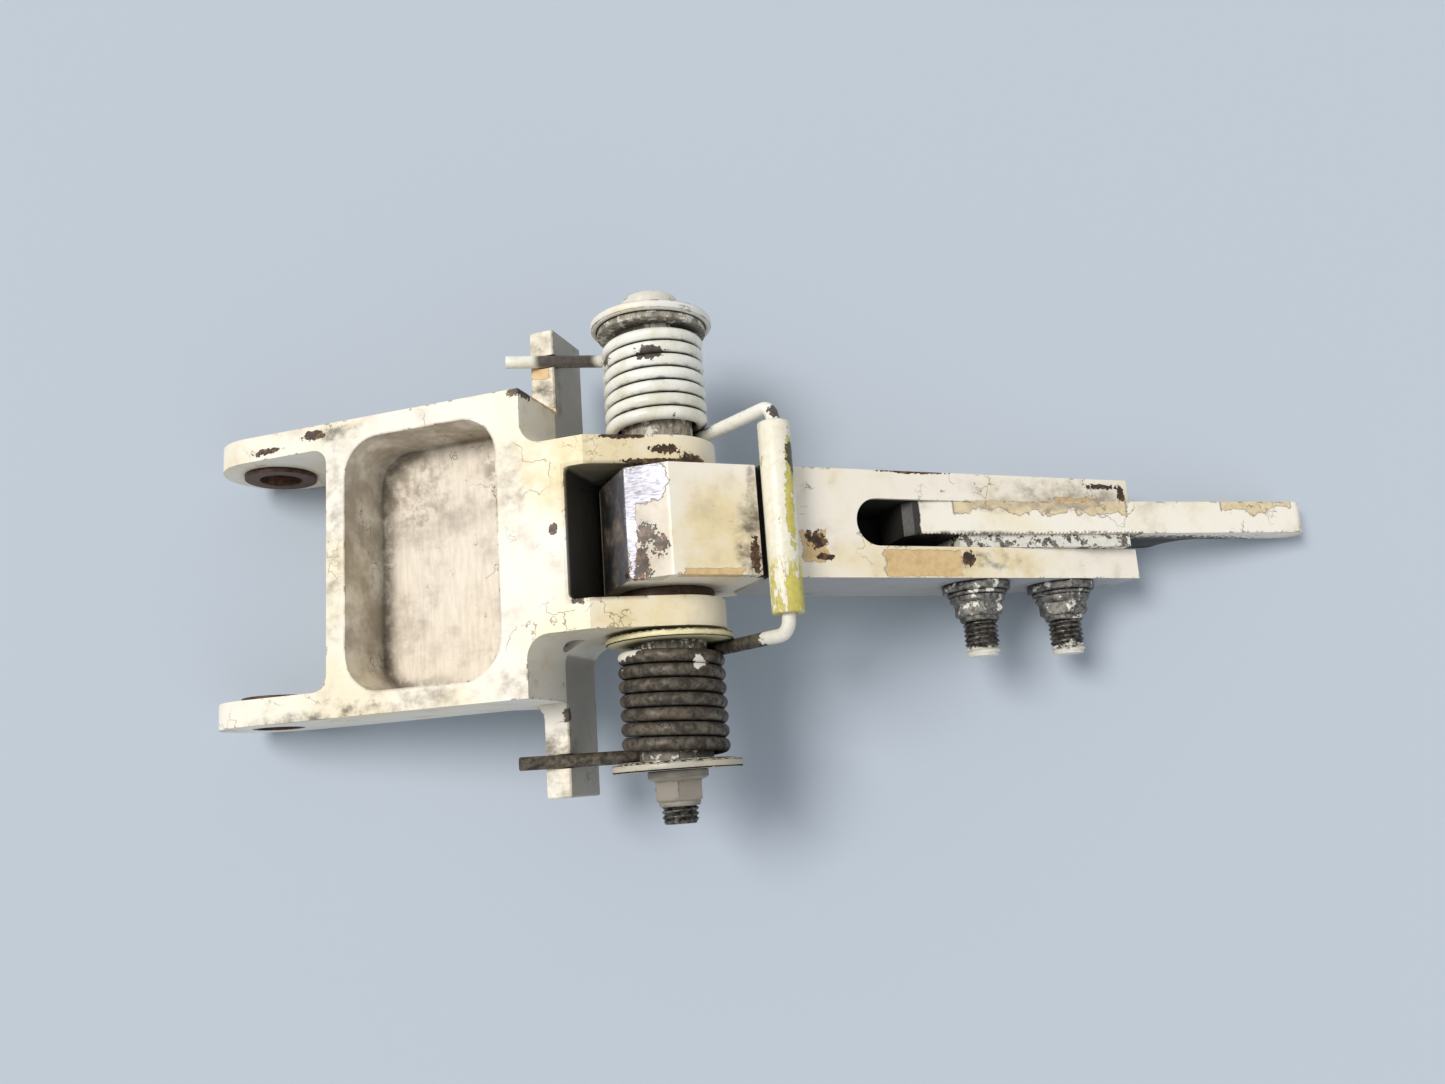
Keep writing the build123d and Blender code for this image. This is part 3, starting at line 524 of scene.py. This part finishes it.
def painted_wire():
    """White paint on the spring wire, with painted shade and grime between the turns and dark chips."""
    s = Shader("painted_wire", -BRACKET_TILT)
    gritty = s.noise(1.0, 3, 6, 0.7)
    air = s.open_air(1.6)
    chip = s.either(
        s.patch((2.5, 32.5, 8), (2.6, 1.3, 4), 1.2, seed=2, grain=0.9),
        s.patch((-6.5, 33.5, 4), (1.8, 0.9, 4), 1.2, seed=3, grain=0.9),
        s.level(s.noise(1.7, 5, 6, 0.75), 0.67, 0.70),
        s.patch((24.5, 18.6, 5), (1.6, 1.4, 4), 0.8, seed=11, grain=1.0),
    )
    bare_leg = s.inside((-22.5, 36, -20), (-12.5, 40, 4), 0.8)
    colour = s.blend(s.level(s.noise(5, 4), 0.4, 0.75), srgb("f1efe6"), srgb("dcd6c2"))
    along = s.noise(1.6, 7, 6, 0.7, (0.5, 2.2, 0.5))
    # painted shade between the turns, and patchy grime along the wire where it is half shut in
    patchy_shade_and_grime = s.both(s.level(air, 0.95, 0.55), s.level(along, 0.50, 0.62))
    colour = s.blend(s.either(s.level(air, 0.70, 0.25), s.both(patchy_shade_and_grime, 0.8)), colour, srgb("2a221b"))
    colour = s.blend(s.either(chip, bare_leg), colour, s.blend(gritty, srgb("2b2622"), srgb("6b6259")))
    relief = s.math("SUBTRACT", s.both(s.noise(2.4, 6, 3), 0.8), s.either(chip, bare_leg))
    return s.finish(colour, s.level(gritty, 0.2, 0.8, 0.65), 0.0, s.bump(relief, 0.14))


def bare_wire():
    """Grimy, rusting wire with flecks of old white paint."""
    s = Shader("bare_wire", -BRACKET_TILT)
    gritty = s.noise(1.5, 3, 6, 0.66)
    rust = s.level(s.noise(3.5, 4, 6, 0.7), 0.50, 0.66)
    colour = s.blend(s.level(gritty, 0.38, 0.68), srgb("3b352e"), srgb("6f675b"))
    colour = s.blend(s.both(rust, 0.6), colour, s.blend(gritty, srgb("2e2118"), srgb("6e5238")))
    streak = s.noise(1.5, 8, 5, 0.7, (1, 2.2, 1))
    fleck = s.either(
        s.both(s.level(streak, 0.66, 0.69), s.level(s.noise(6, 9, 2), 0.45, 0.6)),
        s.patch((-6.2, -20.4, 6), (4.0, 1.1, 6), 1.0, seed=6, grain=1.1),
        s.patch((23.5, -18.0, 6), (7.5, 5.0, 6), 0.35, seed=7),
        s.patch((7.0, -23, 5), (0.8, 1.3, 4), 1.2, seed=8),
    )
    # painted shade: near-black between the turns and in crevices
    colour = s.blend(s.level(s.open_air(1.6), 0.7, 0.2, 0.9), colour, SHADE_AND_GRIME_BLACK)
    colour = s.blend(fleck, colour, s.blend(gritty, srgb("c9c2b2"), srgb("f2efe6")))
    metal = s.without(s.math("SUBTRACT", 0.4, s.both(rust, 0.4)), fleck)
    relief = s.math("ADD", s.both(gritty, 0.8), fleck)
    roughness = s.math("ADD", s.level(gritty, 0.8, 0.2, 0.4), 0.4)
    return s.finish(colour, roughness, metal, s.bump(relief, 0.14))


def sleeve_paint():
    """Yellow sleeve under white paint that has worn off in bands and streaks."""
    s = Shader("sleeve_paint", ARM_DROP)
    gritty = s.noise(1.2, 3, 6, 0.7)
    streaks = s.noise(3.2, 5, 5, 0.7, (1, 0.35, 1))
    low_end = s.level(s.y, -6.5, -9.5)
    shown = s.either(
        s.level(streaks, 0.63, 0.66),
        s.both(low_end, s.level(streaks, 0.42, 0.46)),
        s.patch((15.4, 9, 22), (0.9, 5, 3), 1.3, seed=4, grain=1.1),
        s.patch((14.6, 0, 22), (0.8, 6, 3), 1.5, seed=9, grain=1.1),
    )
    colour = s.blend(s.level(gritty, 0.3, 0.8), srgb("efe9d8"), srgb("d9cfb6"))
    yellow = s.blend(s.level(gritty, 0.35, 0.75), YELLOW, srgb("b7a74a"))
    colour = s.blend(shown, colour, yellow)
    chip = s.either(
        s.patch((16.0, 10, 21.5), (1.5, 2.6, 3), 1.1, seed=6, grain=0.9),
        s.level(s.noise(1.5, 7, 5, 0.7), 0.71, 0.74),
    )
    rings = s.both(s.level(s.edges(0.5), 0.02, 0.1), s.level(gritty, 0.4, 0.55))
    colour = s.blend(s.either(chip, rings), colour, srgb("4d4632"))
    relief = s.math("SUBTRACT", s.both(gritty, 0.3), s.either(shown, chip))
    return s.finish(colour, s.level(gritty, 0.2, 0.8, 0.6), 0.0, s.bump(relief, 0.1))


def worn_metal(name, dark, light, paint_flecks=0.0, metal=0.85, lay=(1, 1, 1)):
    """Bare hardware: turned or rolled metal with grime, painted shade in its crevices and remains of
    overpaint.
    """
    s = Shader(name, ARM_DROP)
    gritty = s.noise(0.9, 3, 6, 0.72, lay)
    cloudy = s.noise(4, 4, 5, 0.65)
    air = s.open_air(2.5)
    colour = s.blend(s.level(gritty, 0.3, 0.72), dark, light)
    # painted shade: near-black in crevices, where the surface is shut in
    colour = s.blend(s.level(air, 0.75, 0.25, 0.85), colour, SHADE_AND_GRIME_BLACK)
    metallic = s.level(cloudy, 0.8, 0.3, metal)
    relief = s.both(gritty, 0.5)
    if paint_flecks:
        fleck = s.level(s.noise(2.2, 6, 6, 0.7), 1 - paint_flecks, 1.02 - paint_flecks)
        colour = s.blend(fleck, colour, s.blend(gritty, srgb("bdb7a8"), srgb("f3f0e8")))
        metallic = s.without(metallic, fleck)
        relief = s.math("ADD", relief, fleck)
    roughness = s.math("ADD", s.level(gritty, 0.2, 0.8, 0.35), 0.35)
    return s.finish(colour, roughness, metallic, s.bump(relief, 0.08))


def threaded_look(name, painted_above, painted_below):
    """Dark dirty thread between a painted head and an end with paint left on it, by distance along Y."""
    s = Shader(name, ARM_DROP)
    gritty = s.noise(0.9, 3, 6, 0.72)
    torn = s.noise(2.4, 6, 6, 0.7)
    colour = s.blend(s.level(gritty, 0.35, 0.75), srgb("1f1d1b"), srgb("7a746c"))
    place = s.math("ADD", s.y, s.math("MULTIPLY", s.math("SUBTRACT", torn, 0.5), 6))
    end = s.level(place, painted_below + 0.2, painted_below - 0.2)
    head = s.both(s.level(s.y, painted_above - 0.3, painted_above), s.level(torn, 0.66, 0.62))
    fleck = s.either(end, head, s.level(torn, 0.68, 0.70))
    colour = s.blend(fleck, colour, s.blend(gritty, srgb("bdb6a8"), srgb("efebe1")))
    # painted shade: near-black in the thread's grooves and other crevices
    colour = s.blend(s.level(s.open_air(1.2), 0.7, 0.2, 0.8), colour, SHADE_AND_GRIME_BLACK)
    metal = s.without(s.level(gritty, 0.8, 0.2, 0.8), fleck)
    relief = s.math("ADD", s.both(gritty, 0.5), fleck)
    return s.finish(colour, s.level(gritty, 0.9, 0.1, 0.8), metal, s.bump(relief, 0.1))


# ---------------------------------------------------------------- meshes


def mesh_object(name, mesh, smooth=True):
    piece = bpy.data.objects.new(name, mesh)
    bpy.context.scene.collection.objects.link(piece)
    if smooth:
        mesh.shade_smooth()
    return piece


def skin_rings(name, rings):
    """Quads between rings of points, with a cap at each end."""
    bm = bmesh.new()
    rows = [[bm.verts.new(point) for point in ring] for ring in rings]
    count = len(rows[0])
    for row, following in zip(rows, rows[1:]):
        for i in range(count):
            j = (i + 1) % count
            bm.faces.new((row[i], row[j], following[j], following[i]))
    bm.faces.new(rows[0][::-1])
    bm.faces.new(rows[-1])
    bmesh.ops.recalc_face_normals(bm, faces=bm.faces)
    mesh = bpy.data.meshes.new(name)
    bm.to_mesh(mesh)
    bm.free()
    return mesh


def sharpen(piece, angle=35):
    """Flat-looking faces with crisp corners on a smooth-shaded mesh."""
    bm = bmesh.new()
    bm.from_mesh(piece.data)
    for edge in bm.edges:
        edge.smooth = len(edge.link_faces) == 2 and edge.calc_face_angle() < radians(angle)
    bm.to_mesh(piece.data)
    bm.free()


def wire_mesh(name, points, radius, sides=16):
    """Round wire along a path, with slightly rounded cut ends."""
    rings = []
    tangent = (points[1] - points[0]).normalized()
    across = tangent.orthogonal().normalized()
    last = len(points) - 1
    for i, point in enumerate(points):
        new_tangent = (points[min(i + 1, last)] - points[max(i - 1, 0)]).normalized()
        across = tangent.rotation_difference(new_tangent) @ across
        across = (across - new_tangent * across.dot(new_tangent)).normalized()
        tangent = new_tangent
        other = tangent.cross(across)
        turns = [2 * pi * k / sides for k in range(sides)]
        ring = [(across * cos(a) + other * sin(a)) * radius for a in turns]
        if i in (0, last):
            outward = tangent * (-1 if i == 0 else 1)
            end = [point + outward * radius * 0.15 + offset * 0.8 for offset in ring]
            body = [point + offset for offset in ring]
            rings += [end, body] if i == 0 else [body, end]
        else:
            rings.append([point + offset for offset in ring])
    return skin_rings(name, rings)


def turned(name, axis, rows, sides=48):
    """A skin about an axis along Y. Each row is a place along Y and a radius, or a function for it."""
    rings = []
    for y, radius in rows:
        ring = []
        for k in range(sides):
            a = 2 * pi * k / sides
            r = radius(a, y) if callable(radius) else radius
            ring.append(Vector((axis.x + r * cos(a), y, axis.z + r * sin(a))))
        rings.append(ring)
    return skin_rings(name, rings)


THREAD_PITCH = 0.907 * MM
THREAD_DEPTH = 0.45 * MM
BOLT_RADIUS = 3.175 * MM
ROWS_PER_PITCH = 10


def thread_rows(start, end):
    """Rows of a right-handed thread with a chamfered point at the end."""
    count = max(2, round(abs(end - start) / THREAD_PITCH * ROWS_PER_PITCH))

    def radius(angle, y):
        phase = (y / THREAD_PITCH + angle / (2 * pi)) % 1
        groove = max(0.0, 1 - abs(phase - 0.5) * 2.6)
        point = min(1.0, abs(end - y) / (0.8 * MM))
        return BOLT_RADIUS - THREAD_DEPTH * max(groove, 1 - point)

    return [(start + (end - start) * i / count, radius) for i in range(count + 1)]


HEX_FLATS = 7.94 * MM
PIVOT_NUT_FLANGE_HEIGHT = 1.5 * MM
CLAMP_NUT_FLANGE_RADIUS = 5.15 * MM
CLAMP_NUT_FLANGE_HEIGHT = 1.2 * MM
HEAD_SLOT_ANGLE = 35
HEAD_SLOT_DEPTH = 1.2 * MM
HEAD_SLOT_HALF_WIDTH = 0.7 * MM
CLAMP_HEAD_RADIUS = 6.0 * MM
CLAMP_HEAD_DEPTH = 2.37 * MM
CROSS_HALF_LENGTH = 2.6 * MM
CROSS_DEPTH = 1.5 * MM
CROSS_HALF_WIDTH = 0.55 * MM
CROSS_TURN = 0.3


def hex_radius(angle):
    sector = (angle + pi / 6) % (pi / 3) - pi / 6
    return HEX_FLATS / 2 / cos(sector)


def nut_mesh(name, axis, seat, height, flange, flange_height):
    """Flanged hexagon nut from its seat towards -Y, with a chamfered top and a locking collar."""
    corner = HEX_FLATS / 2 / cos(pi / 6)
    waist = seat - flange_height
    top = seat - height
    rows = [(seat, flange * 0.95), (seat - 0.15 * MM, flange), (waist + 0.3 * MM, flange)]
    rows.append((waist, flange * 0.93))
    slices = 6
    rows.append((waist - 0.35 * MM, lambda a, y: hex_radius(a)))
    chamfer = 0.55 * MM
    for i in range(slices + 1):
        limit = corner - (corner - HEX_FLATS / 2 * 0.97) * i / slices
        y = top + 0.9 * MM + chamfer * (1 - i / slices)
        rows.append((y, lambda a, y, limit=limit: min(hex_radius(a), limit)))
    collar = HEX_FLATS / 2 * 0.92
    rows += [(top + 0.85 * MM, collar), (top + 0.2 * MM, collar * 0.99), (top, collar * 0.93)]
    rows.append((top, BOLT_RADIUS * 0.95))
    return turned(name, axis, rows, sides=72)


def cut(piece, cutter):
    """Cuts one piece's shape out of another and removes the cutter."""
    modifier = piece.modifiers.new("cut", "BOOLEAN")
    modifier.object = cutter
    modifier.operation = "DIFFERENCE"
    bpy.context.view_layer.update()
    shaped = bpy.data.meshes.new_from_object(piece.evaluated_get(bpy.context.evaluated_depsgraph_get()))
    piece.modifiers.clear()
    piece.data = shaped
    bpy.data.objects.remove(cutter)


def block(low, high, turn=0.0, about=Vector()):
    """A plain block for cutting with, turned about an axis along Y."""
    bm = bmesh.new()
    bmesh.ops.create_cube(bm, size=1)
    centre = (Vector(low) + Vector(high)) / 2
    size = Vector(high) - Vector(low)
    turned_about = Matrix.Translation(about) @ Matrix.Rotation(turn, 4, "Y")
    place = turned_about @ Matrix.Translation(centre - about)
    bmesh.ops.transform(bm, matrix=place @ Matrix.Diagonal((*size, 1)), verts=bm.verts)
    mesh = bpy.data.meshes.new("cutter")
    bm.to_mesh(mesh)
    bm.free()
    return mesh_object("cutter", mesh, smooth=False)


# ---------------------------------------------------------------- springs

COIL_RADIUS = 8.25 * MM
WIRE_RADIUS = 1.2 * MM
FULL_TURNS = 7
OUTER_LEG_Y = 37.6 * MM
INNER_LEG_Y = 19.9 * MM
OUTER_LEG_LIFT = 27.0
OUTER_LEG_LENGTH = 27.0 * MM
ELBOW_RADIUS = 2.6 * MM
LEG_IN_TUBE = 14.0 * MM
STEPS_PER_TURN = 56


def heading(angle):
    """Unit vector in the XZ plane, at an angle above +X."""
    return Vector((cos(radians(angle)), 0, sin(radians(angle))))


def spring_path(side):
    """Outer leg, coil, inner leg and the elbow that enters the sleeve."""
    leg_angle = 180 - OUTER_LEG_LIFT + BRACKET_TILT
    start = leg_angle + 90
    to_tube = TUBE - PIVOT
    rise = degrees(atan2(to_tube.z, to_tube.x))
    finish = rise - degrees(acos(COIL_RADIUS / hypot(to_tube.x, to_tube.z)))
    sweep = FULL_TURNS * 360 + (finish - start) % 360
    inward = Vector((0, -side, 0))
    outer = PIVOT + Vector((0, side * OUTER_LEG_Y, 0))

    coil_start = outer + heading(start) * COIL_RADIUS
    leg_tip = coil_start + heading(leg_angle) * OUTER_LEG_LENGTH
    points = [leg_tip.lerp(coil_start, i / 16) for i in range(16)]
    steps = round(sweep / 360 * STEPS_PER_TURN)
    for i in range(steps + 1):
        share = i / steps
        travel = inward * (OUTER_LEG_Y - INNER_LEG_Y) * share
        points.append(outer + travel + heading(start + sweep * share) * COIL_RADIUS)
    coil_end = points[-1]
    leg_in = heading(finish + 90)
    centre = TUBE + Vector((0, side * INNER_LEG_Y, 0)) + (inward - leg_in) * ELBOW_RADIUS
    elbow_start = centre - inward * ELBOW_RADIUS
    points += [coil_end.lerp(elbow_start, i / 8) for i in range(1, 9)]
    for i in range(1, 13):
        a = radians(90 * i / 12)
        points.append(centre - inward * ELBOW_RADIUS * cos(a) + leg_in * ELBOW_RADIUS * sin(a))
    elbow_end = points[-1]
    points += [elbow_end + inward * LEG_IN_TUBE * i / 10 for i in range(1, 11)]
    return points


def make_springs():
    """Each spring as one wire from its bracket end to its arm end, in place of the CAD spring."""
    looks = {"head_side": painted_wire(), "nut_side": bare_wire()}
    for name, side in SIDES.items():
        mesh = wire_mesh(f"{name}_wire", spring_path(side), WIRE_RADIUS)
        spring = mesh_object(f"{name}_wire", mesh)
        spring.data.materials.append(looks[name])
        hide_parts(f"{name}_spring")
        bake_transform(spring)


# ---------------------------------------------------------------- bolts and nuts


def loose_parts(node):
    """Axis, lowest and highest y of each separate solid of a node, by its place along X."""
    low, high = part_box(node)
    middle = (low.x + high.x) / 2
    halves = []
    for keep in (lambda v: v.co.x < middle, lambda v: v.co.x >= middle):
        corners = [v.co for v in nodes[node].data.vertices if keep(v)]
        xs, ys, zs = ([c[i] for c in corners] for i in range(3))
        axis = Vector(((min(xs) + max(xs)) / 2, 0, (min(zs) + max(zs)) / 2))
        halves.append((axis, min(ys), max(ys)))
    return halves


def make_pivot_bolt(look):
    low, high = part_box("pivot_bolt")
    nut_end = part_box("pivot_nut")[0].y
    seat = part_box("cap_washer")[1].y
    head = (high.x - low.x) / 2
    height = high.y - seat
    rows = thread_rows(nut_end + 2 * THREAD_PITCH, low.y)[::-1]
    rows += [(nut_end + 2.2 * THREAD_PITCH, BOLT_RADIUS), (seat, BOLT_RADIUS), (seat, head * 0.96)]
    rows.append((seat + 0.25 * MM, head))
    bend = 8
    for i in range(bend + 1):
        a = pi / 2 * i / bend
        rows.append((seat + height * (0.62 + 0.38 * sin(a)), head * (0.72 + 0.28 * cos(a))))
    bolt = mesh_object("pivot_bolt_threaded", turned("pivot_bolt_threaded", PIVOT, rows))
    reach = head * 1.5
    cutter = block(
        (PIVOT.x - reach, high.y - HEAD_SLOT_DEPTH, PIVOT.z - HEAD_SLOT_HALF_WIDTH),
        (PIVOT.x + reach, high.y + HEAD_SLOT_DEPTH, PIVOT.z + HEAD_SLOT_HALF_WIDTH),
        radians(HEAD_SLOT_ANGLE),
        PIVOT,
    )
    cut(bolt, cutter)
    sharpen(bolt)
    bolt.data.materials.clear()
    bolt.data.materials.append(look)
    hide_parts("pivot_bolt")
    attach(bolt, "bracket")


def make_clamp_bolts(look):
    """Flush-headed bolts with a cross recess and a thread past the nut."""
    parts = loose_parts("clamp_bolts")
    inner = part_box("clamp_thin_washers")[0].y
    for number, (axis, low, high) in enumerate(parts, 1):
        rows = thread_rows(inner + THREAD_PITCH, low)[::-1]
        rows += [(inner + 1.2 * THREAD_PITCH, BOLT_RADIUS), (high - CLAMP_HEAD_DEPTH, BOLT_RADIUS)]
        rows += [(high - 0.15 * MM, CLAMP_HEAD_RADIUS), (high, CLAMP_HEAD_RADIUS * 0.98)]
        name = f"clamp_bolt_{number}"
        bolt = mesh_object(name, turned(name, axis, rows))
        for turn in (CROSS_TURN, CROSS_TURN + pi / 2):
            cutter = block(
                (axis.x - CROSS_HALF_LENGTH, high - CROSS_DEPTH, axis.z - CROSS_HALF_WIDTH),
                (axis.x + CROSS_HALF_LENGTH, high + MM, axis.z + CROSS_HALF_WIDTH),
                turn,
                axis,
            )
            cut(bolt, cutter)
        sharpen(bolt)
        bolt.data.materials.clear()
        bolt.data.materials.append(look)
        if number == 1:
            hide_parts("clamp_bolts")
        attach(bolt, "arm")


def make_nuts(pivot_look, clamp_look):
    low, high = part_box("pivot_nut")
    flange = (high.x - low.x) / 2
    name = "pivot_nut_hex"
    mesh = nut_mesh(name, PIVOT, high.y, high.y - low.y, flange, PIVOT_NUT_FLANGE_HEIGHT)
    nut = mesh_object(name, mesh)
    sharpen(nut)
    nut.data.materials.append(pivot_look)
    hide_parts("pivot_nut")
    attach(nut, "bracket")
    for number, (axis, low_y, high_y) in enumerate(loose_parts("clamp_nuts"), 1):
        name = f"clamp_nut_{number}"
        height = high_y - low_y
        mesh = nut_mesh(name, axis, high_y, height, CLAMP_NUT_FLANGE_RADIUS, CLAMP_NUT_FLANGE_HEIGHT)
        nut = mesh_object(name, mesh)
        sharpen(nut)
        nut.data.materials.append(clamp_look)
        if number == 1:
            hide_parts("clamp_nuts")
        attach(nut, "arm")


# ---------------------------------------------------------------- CAD pieces


def dress(name, look, rounding=0.0, segments=3):
    """Gives a CAD node its material, and rounds its corners."""
    piece = nodes[name]
    piece.data.materials.clear()
    piece.data.materials.append(look)
    if rounding:
        weld = piece.modifiers.new("weld", "WELD")
        weld.merge_threshold = 0.00001
        bevel = piece.modifiers.new("rounding", "BEVEL")
        bevel.width = rounding * MM
        bevel.segments = segments
        bevel.limit_method = "ANGLE"
        bevel.angle_limit = radians(32)
        bevel.use_clamp_overlap = True
        bevel.harden_normals = True


def dress_cad():
    dress("mount_bracket", bracket_paint(), 0.7)
    dress("lever_arm", arm_paint(), 0.4)
    dress("adjuster_blade", blade_paint(), 0.12, 1)
    dress("bridge_tube", sleeve_paint(), 0.25)
    hardware = white_hardware("hardware_white", srgb("e9e6dd"))
    nut_look = white_hardware("nut_paint", srgb("8f877c"), chips=0.50, crevice_shade_and_dirt=0.9)
    dress("cap_washer", hardware, 0.3)
    dress("end_washer", white_hardware("end_washer_paint", srgb("b4ada0"), crevice_shade_and_dirt=0.9), 0.3)
    dress("inner_spring_washer", white_hardware("washer_cream", srgb("e6dcae"), chips=0.48), 0.25)
    bronze = worn_metal("dark_bronze", srgb("2b1c14"), srgb("6b4a35"), metal=0.6)
    for name in SIDES:
        dress(f"{name}_ear_bushing", bronze, 0.15)
        dress(f"{name}_fork_bushing", bronze)
        dress(f"{name}_thrust_washer", bronze)
    dress("hub_bushing", bronze)
    spool = worn_metal("spool_metal", srgb("5d564d"), srgb("c2b8a6"), 0.46, metal=0.3, lay=(1, 0.4, 1))
    for name in SIDES:
        dress(f"{name}_spool", spool, 0.15)
    dress("serrated_plate", worn_metal("plate_steel", srgb("3a3632"), srgb("9b9188"), 0.55, metal=0.5))
    clamp = worn_metal("clamp_steel", srgb("2b2927"), srgb("97938c"), 0.44)
    for name in ("clamp_wide_washers", "clamp_thin_washers"):
        dress(name, clamp, 0.15)
    make_pivot_bolt(threaded_look("pivot_bolt_paint", painted_above=41.0, painted_below=-52.0))
    make_clamp_bolts(threaded_look("clamp_bolt_steel", painted_above=8.2, painted_below=-22.0))
    make_nuts(nut_look, clamp)


# ---------------------------------------------------------------- stage, light and camera


FLOOR_HALF_WIDTH = 20.0


def make_stage():
    """A plain pale floor that reaches the horizon."""
    low, high = (Vector(corner) for corner in cad_bounds)
    bm = bmesh.new()
    bmesh.ops.create_grid(bm, x_segments=1, y_segments=1, size=FLOOR_HALF_WIDTH)
    mesh = bpy.data.meshes.new("floor")
    bm.to_mesh(mesh)
    bm.free()
    floor = mesh_object("floor", mesh, smooth=False)
    floor.location = ((low.x + high.x) / 2, (low.y + high.y) / 2, low.z)
    look = bpy.data.materials.new("floor")
    look.use_nodes = True
    surface = look.node_tree.nodes["Principled BSDF"]
    surface.inputs["Base Color"].default_value = srgb("b4bdc9")
    surface.inputs["Roughness"].default_value = 0.85
    floor.data.materials.append(look)


def soft_sun(name, toward, strength, spread, colour):
    """Even light from far away, with the soft shadows of a lamp as wide as a spread in degrees."""
    light = bpy.data.lights.new(name, "SUN")
    light.energy = strength
    light.angle = radians(spread)
    light.color = colour
    lamp = bpy.data.objects.new(name, light)
    bpy.context.scene.collection.objects.link(lamp)
    lamp.rotation_euler = Vector(toward).to_track_quat("-Z", "Y").to_euler()


def make_light():
    soft_sun("key", (0.39, -0.16, -0.67), 2.3, 24, (1, 0.97, 0.92))
    soft_sun("fill", (-0.46, 0.60, -0.59), 0.3, 50, (0.92, 0.96, 1))
    world = bpy.data.worlds.new("studio")
    world.use_nodes = True
    world.node_tree.nodes["Background"].inputs["Color"].default_value = (0.92, 0.97, 1, 1)
    world.node_tree.nodes["Background"].inputs["Strength"].default_value = 0.52
    bpy.context.scene.world = world
    bpy.context.scene.view_settings.view_transform = "Standard"


LENS = 28.71
SENSOR_WIDTH = 36.0
CAMERA_PLACE = (0.0803, -0.0435, 0.2229)
CAMERA_AHEAD = (0.0279, 0.2049, -0.9783)
CAMERA_RIGHT = (0.9974, -0.0703, 0.0134)


def make_camera():
    """The photo's viewpoint: almost straight above the pivot, leaning towards the nuts' side."""
    data = bpy.data.cameras.new("camera")
    data.sensor_width = SENSOR_WIDTH
    data.lens = LENS
    data.clip_start = 0.01
    camera = bpy.data.objects.new("camera", data)
    bpy.context.scene.collection.objects.link(camera)
    ahead = Vector(CAMERA_AHEAD).normalized()
    right = Vector(CAMERA_RIGHT)
    right = (right - ahead * right.dot(ahead)).normalized()
    up = right.cross(ahead)
    turn = Matrix((right, up, -ahead)).transposed().to_4x4()
    camera.matrix_world = Matrix.Translation(CAMERA_PLACE) @ turn
    bpy.context.scene.camera = camera


dress_cad()
make_springs()
make_stage()
make_light()
make_camera()
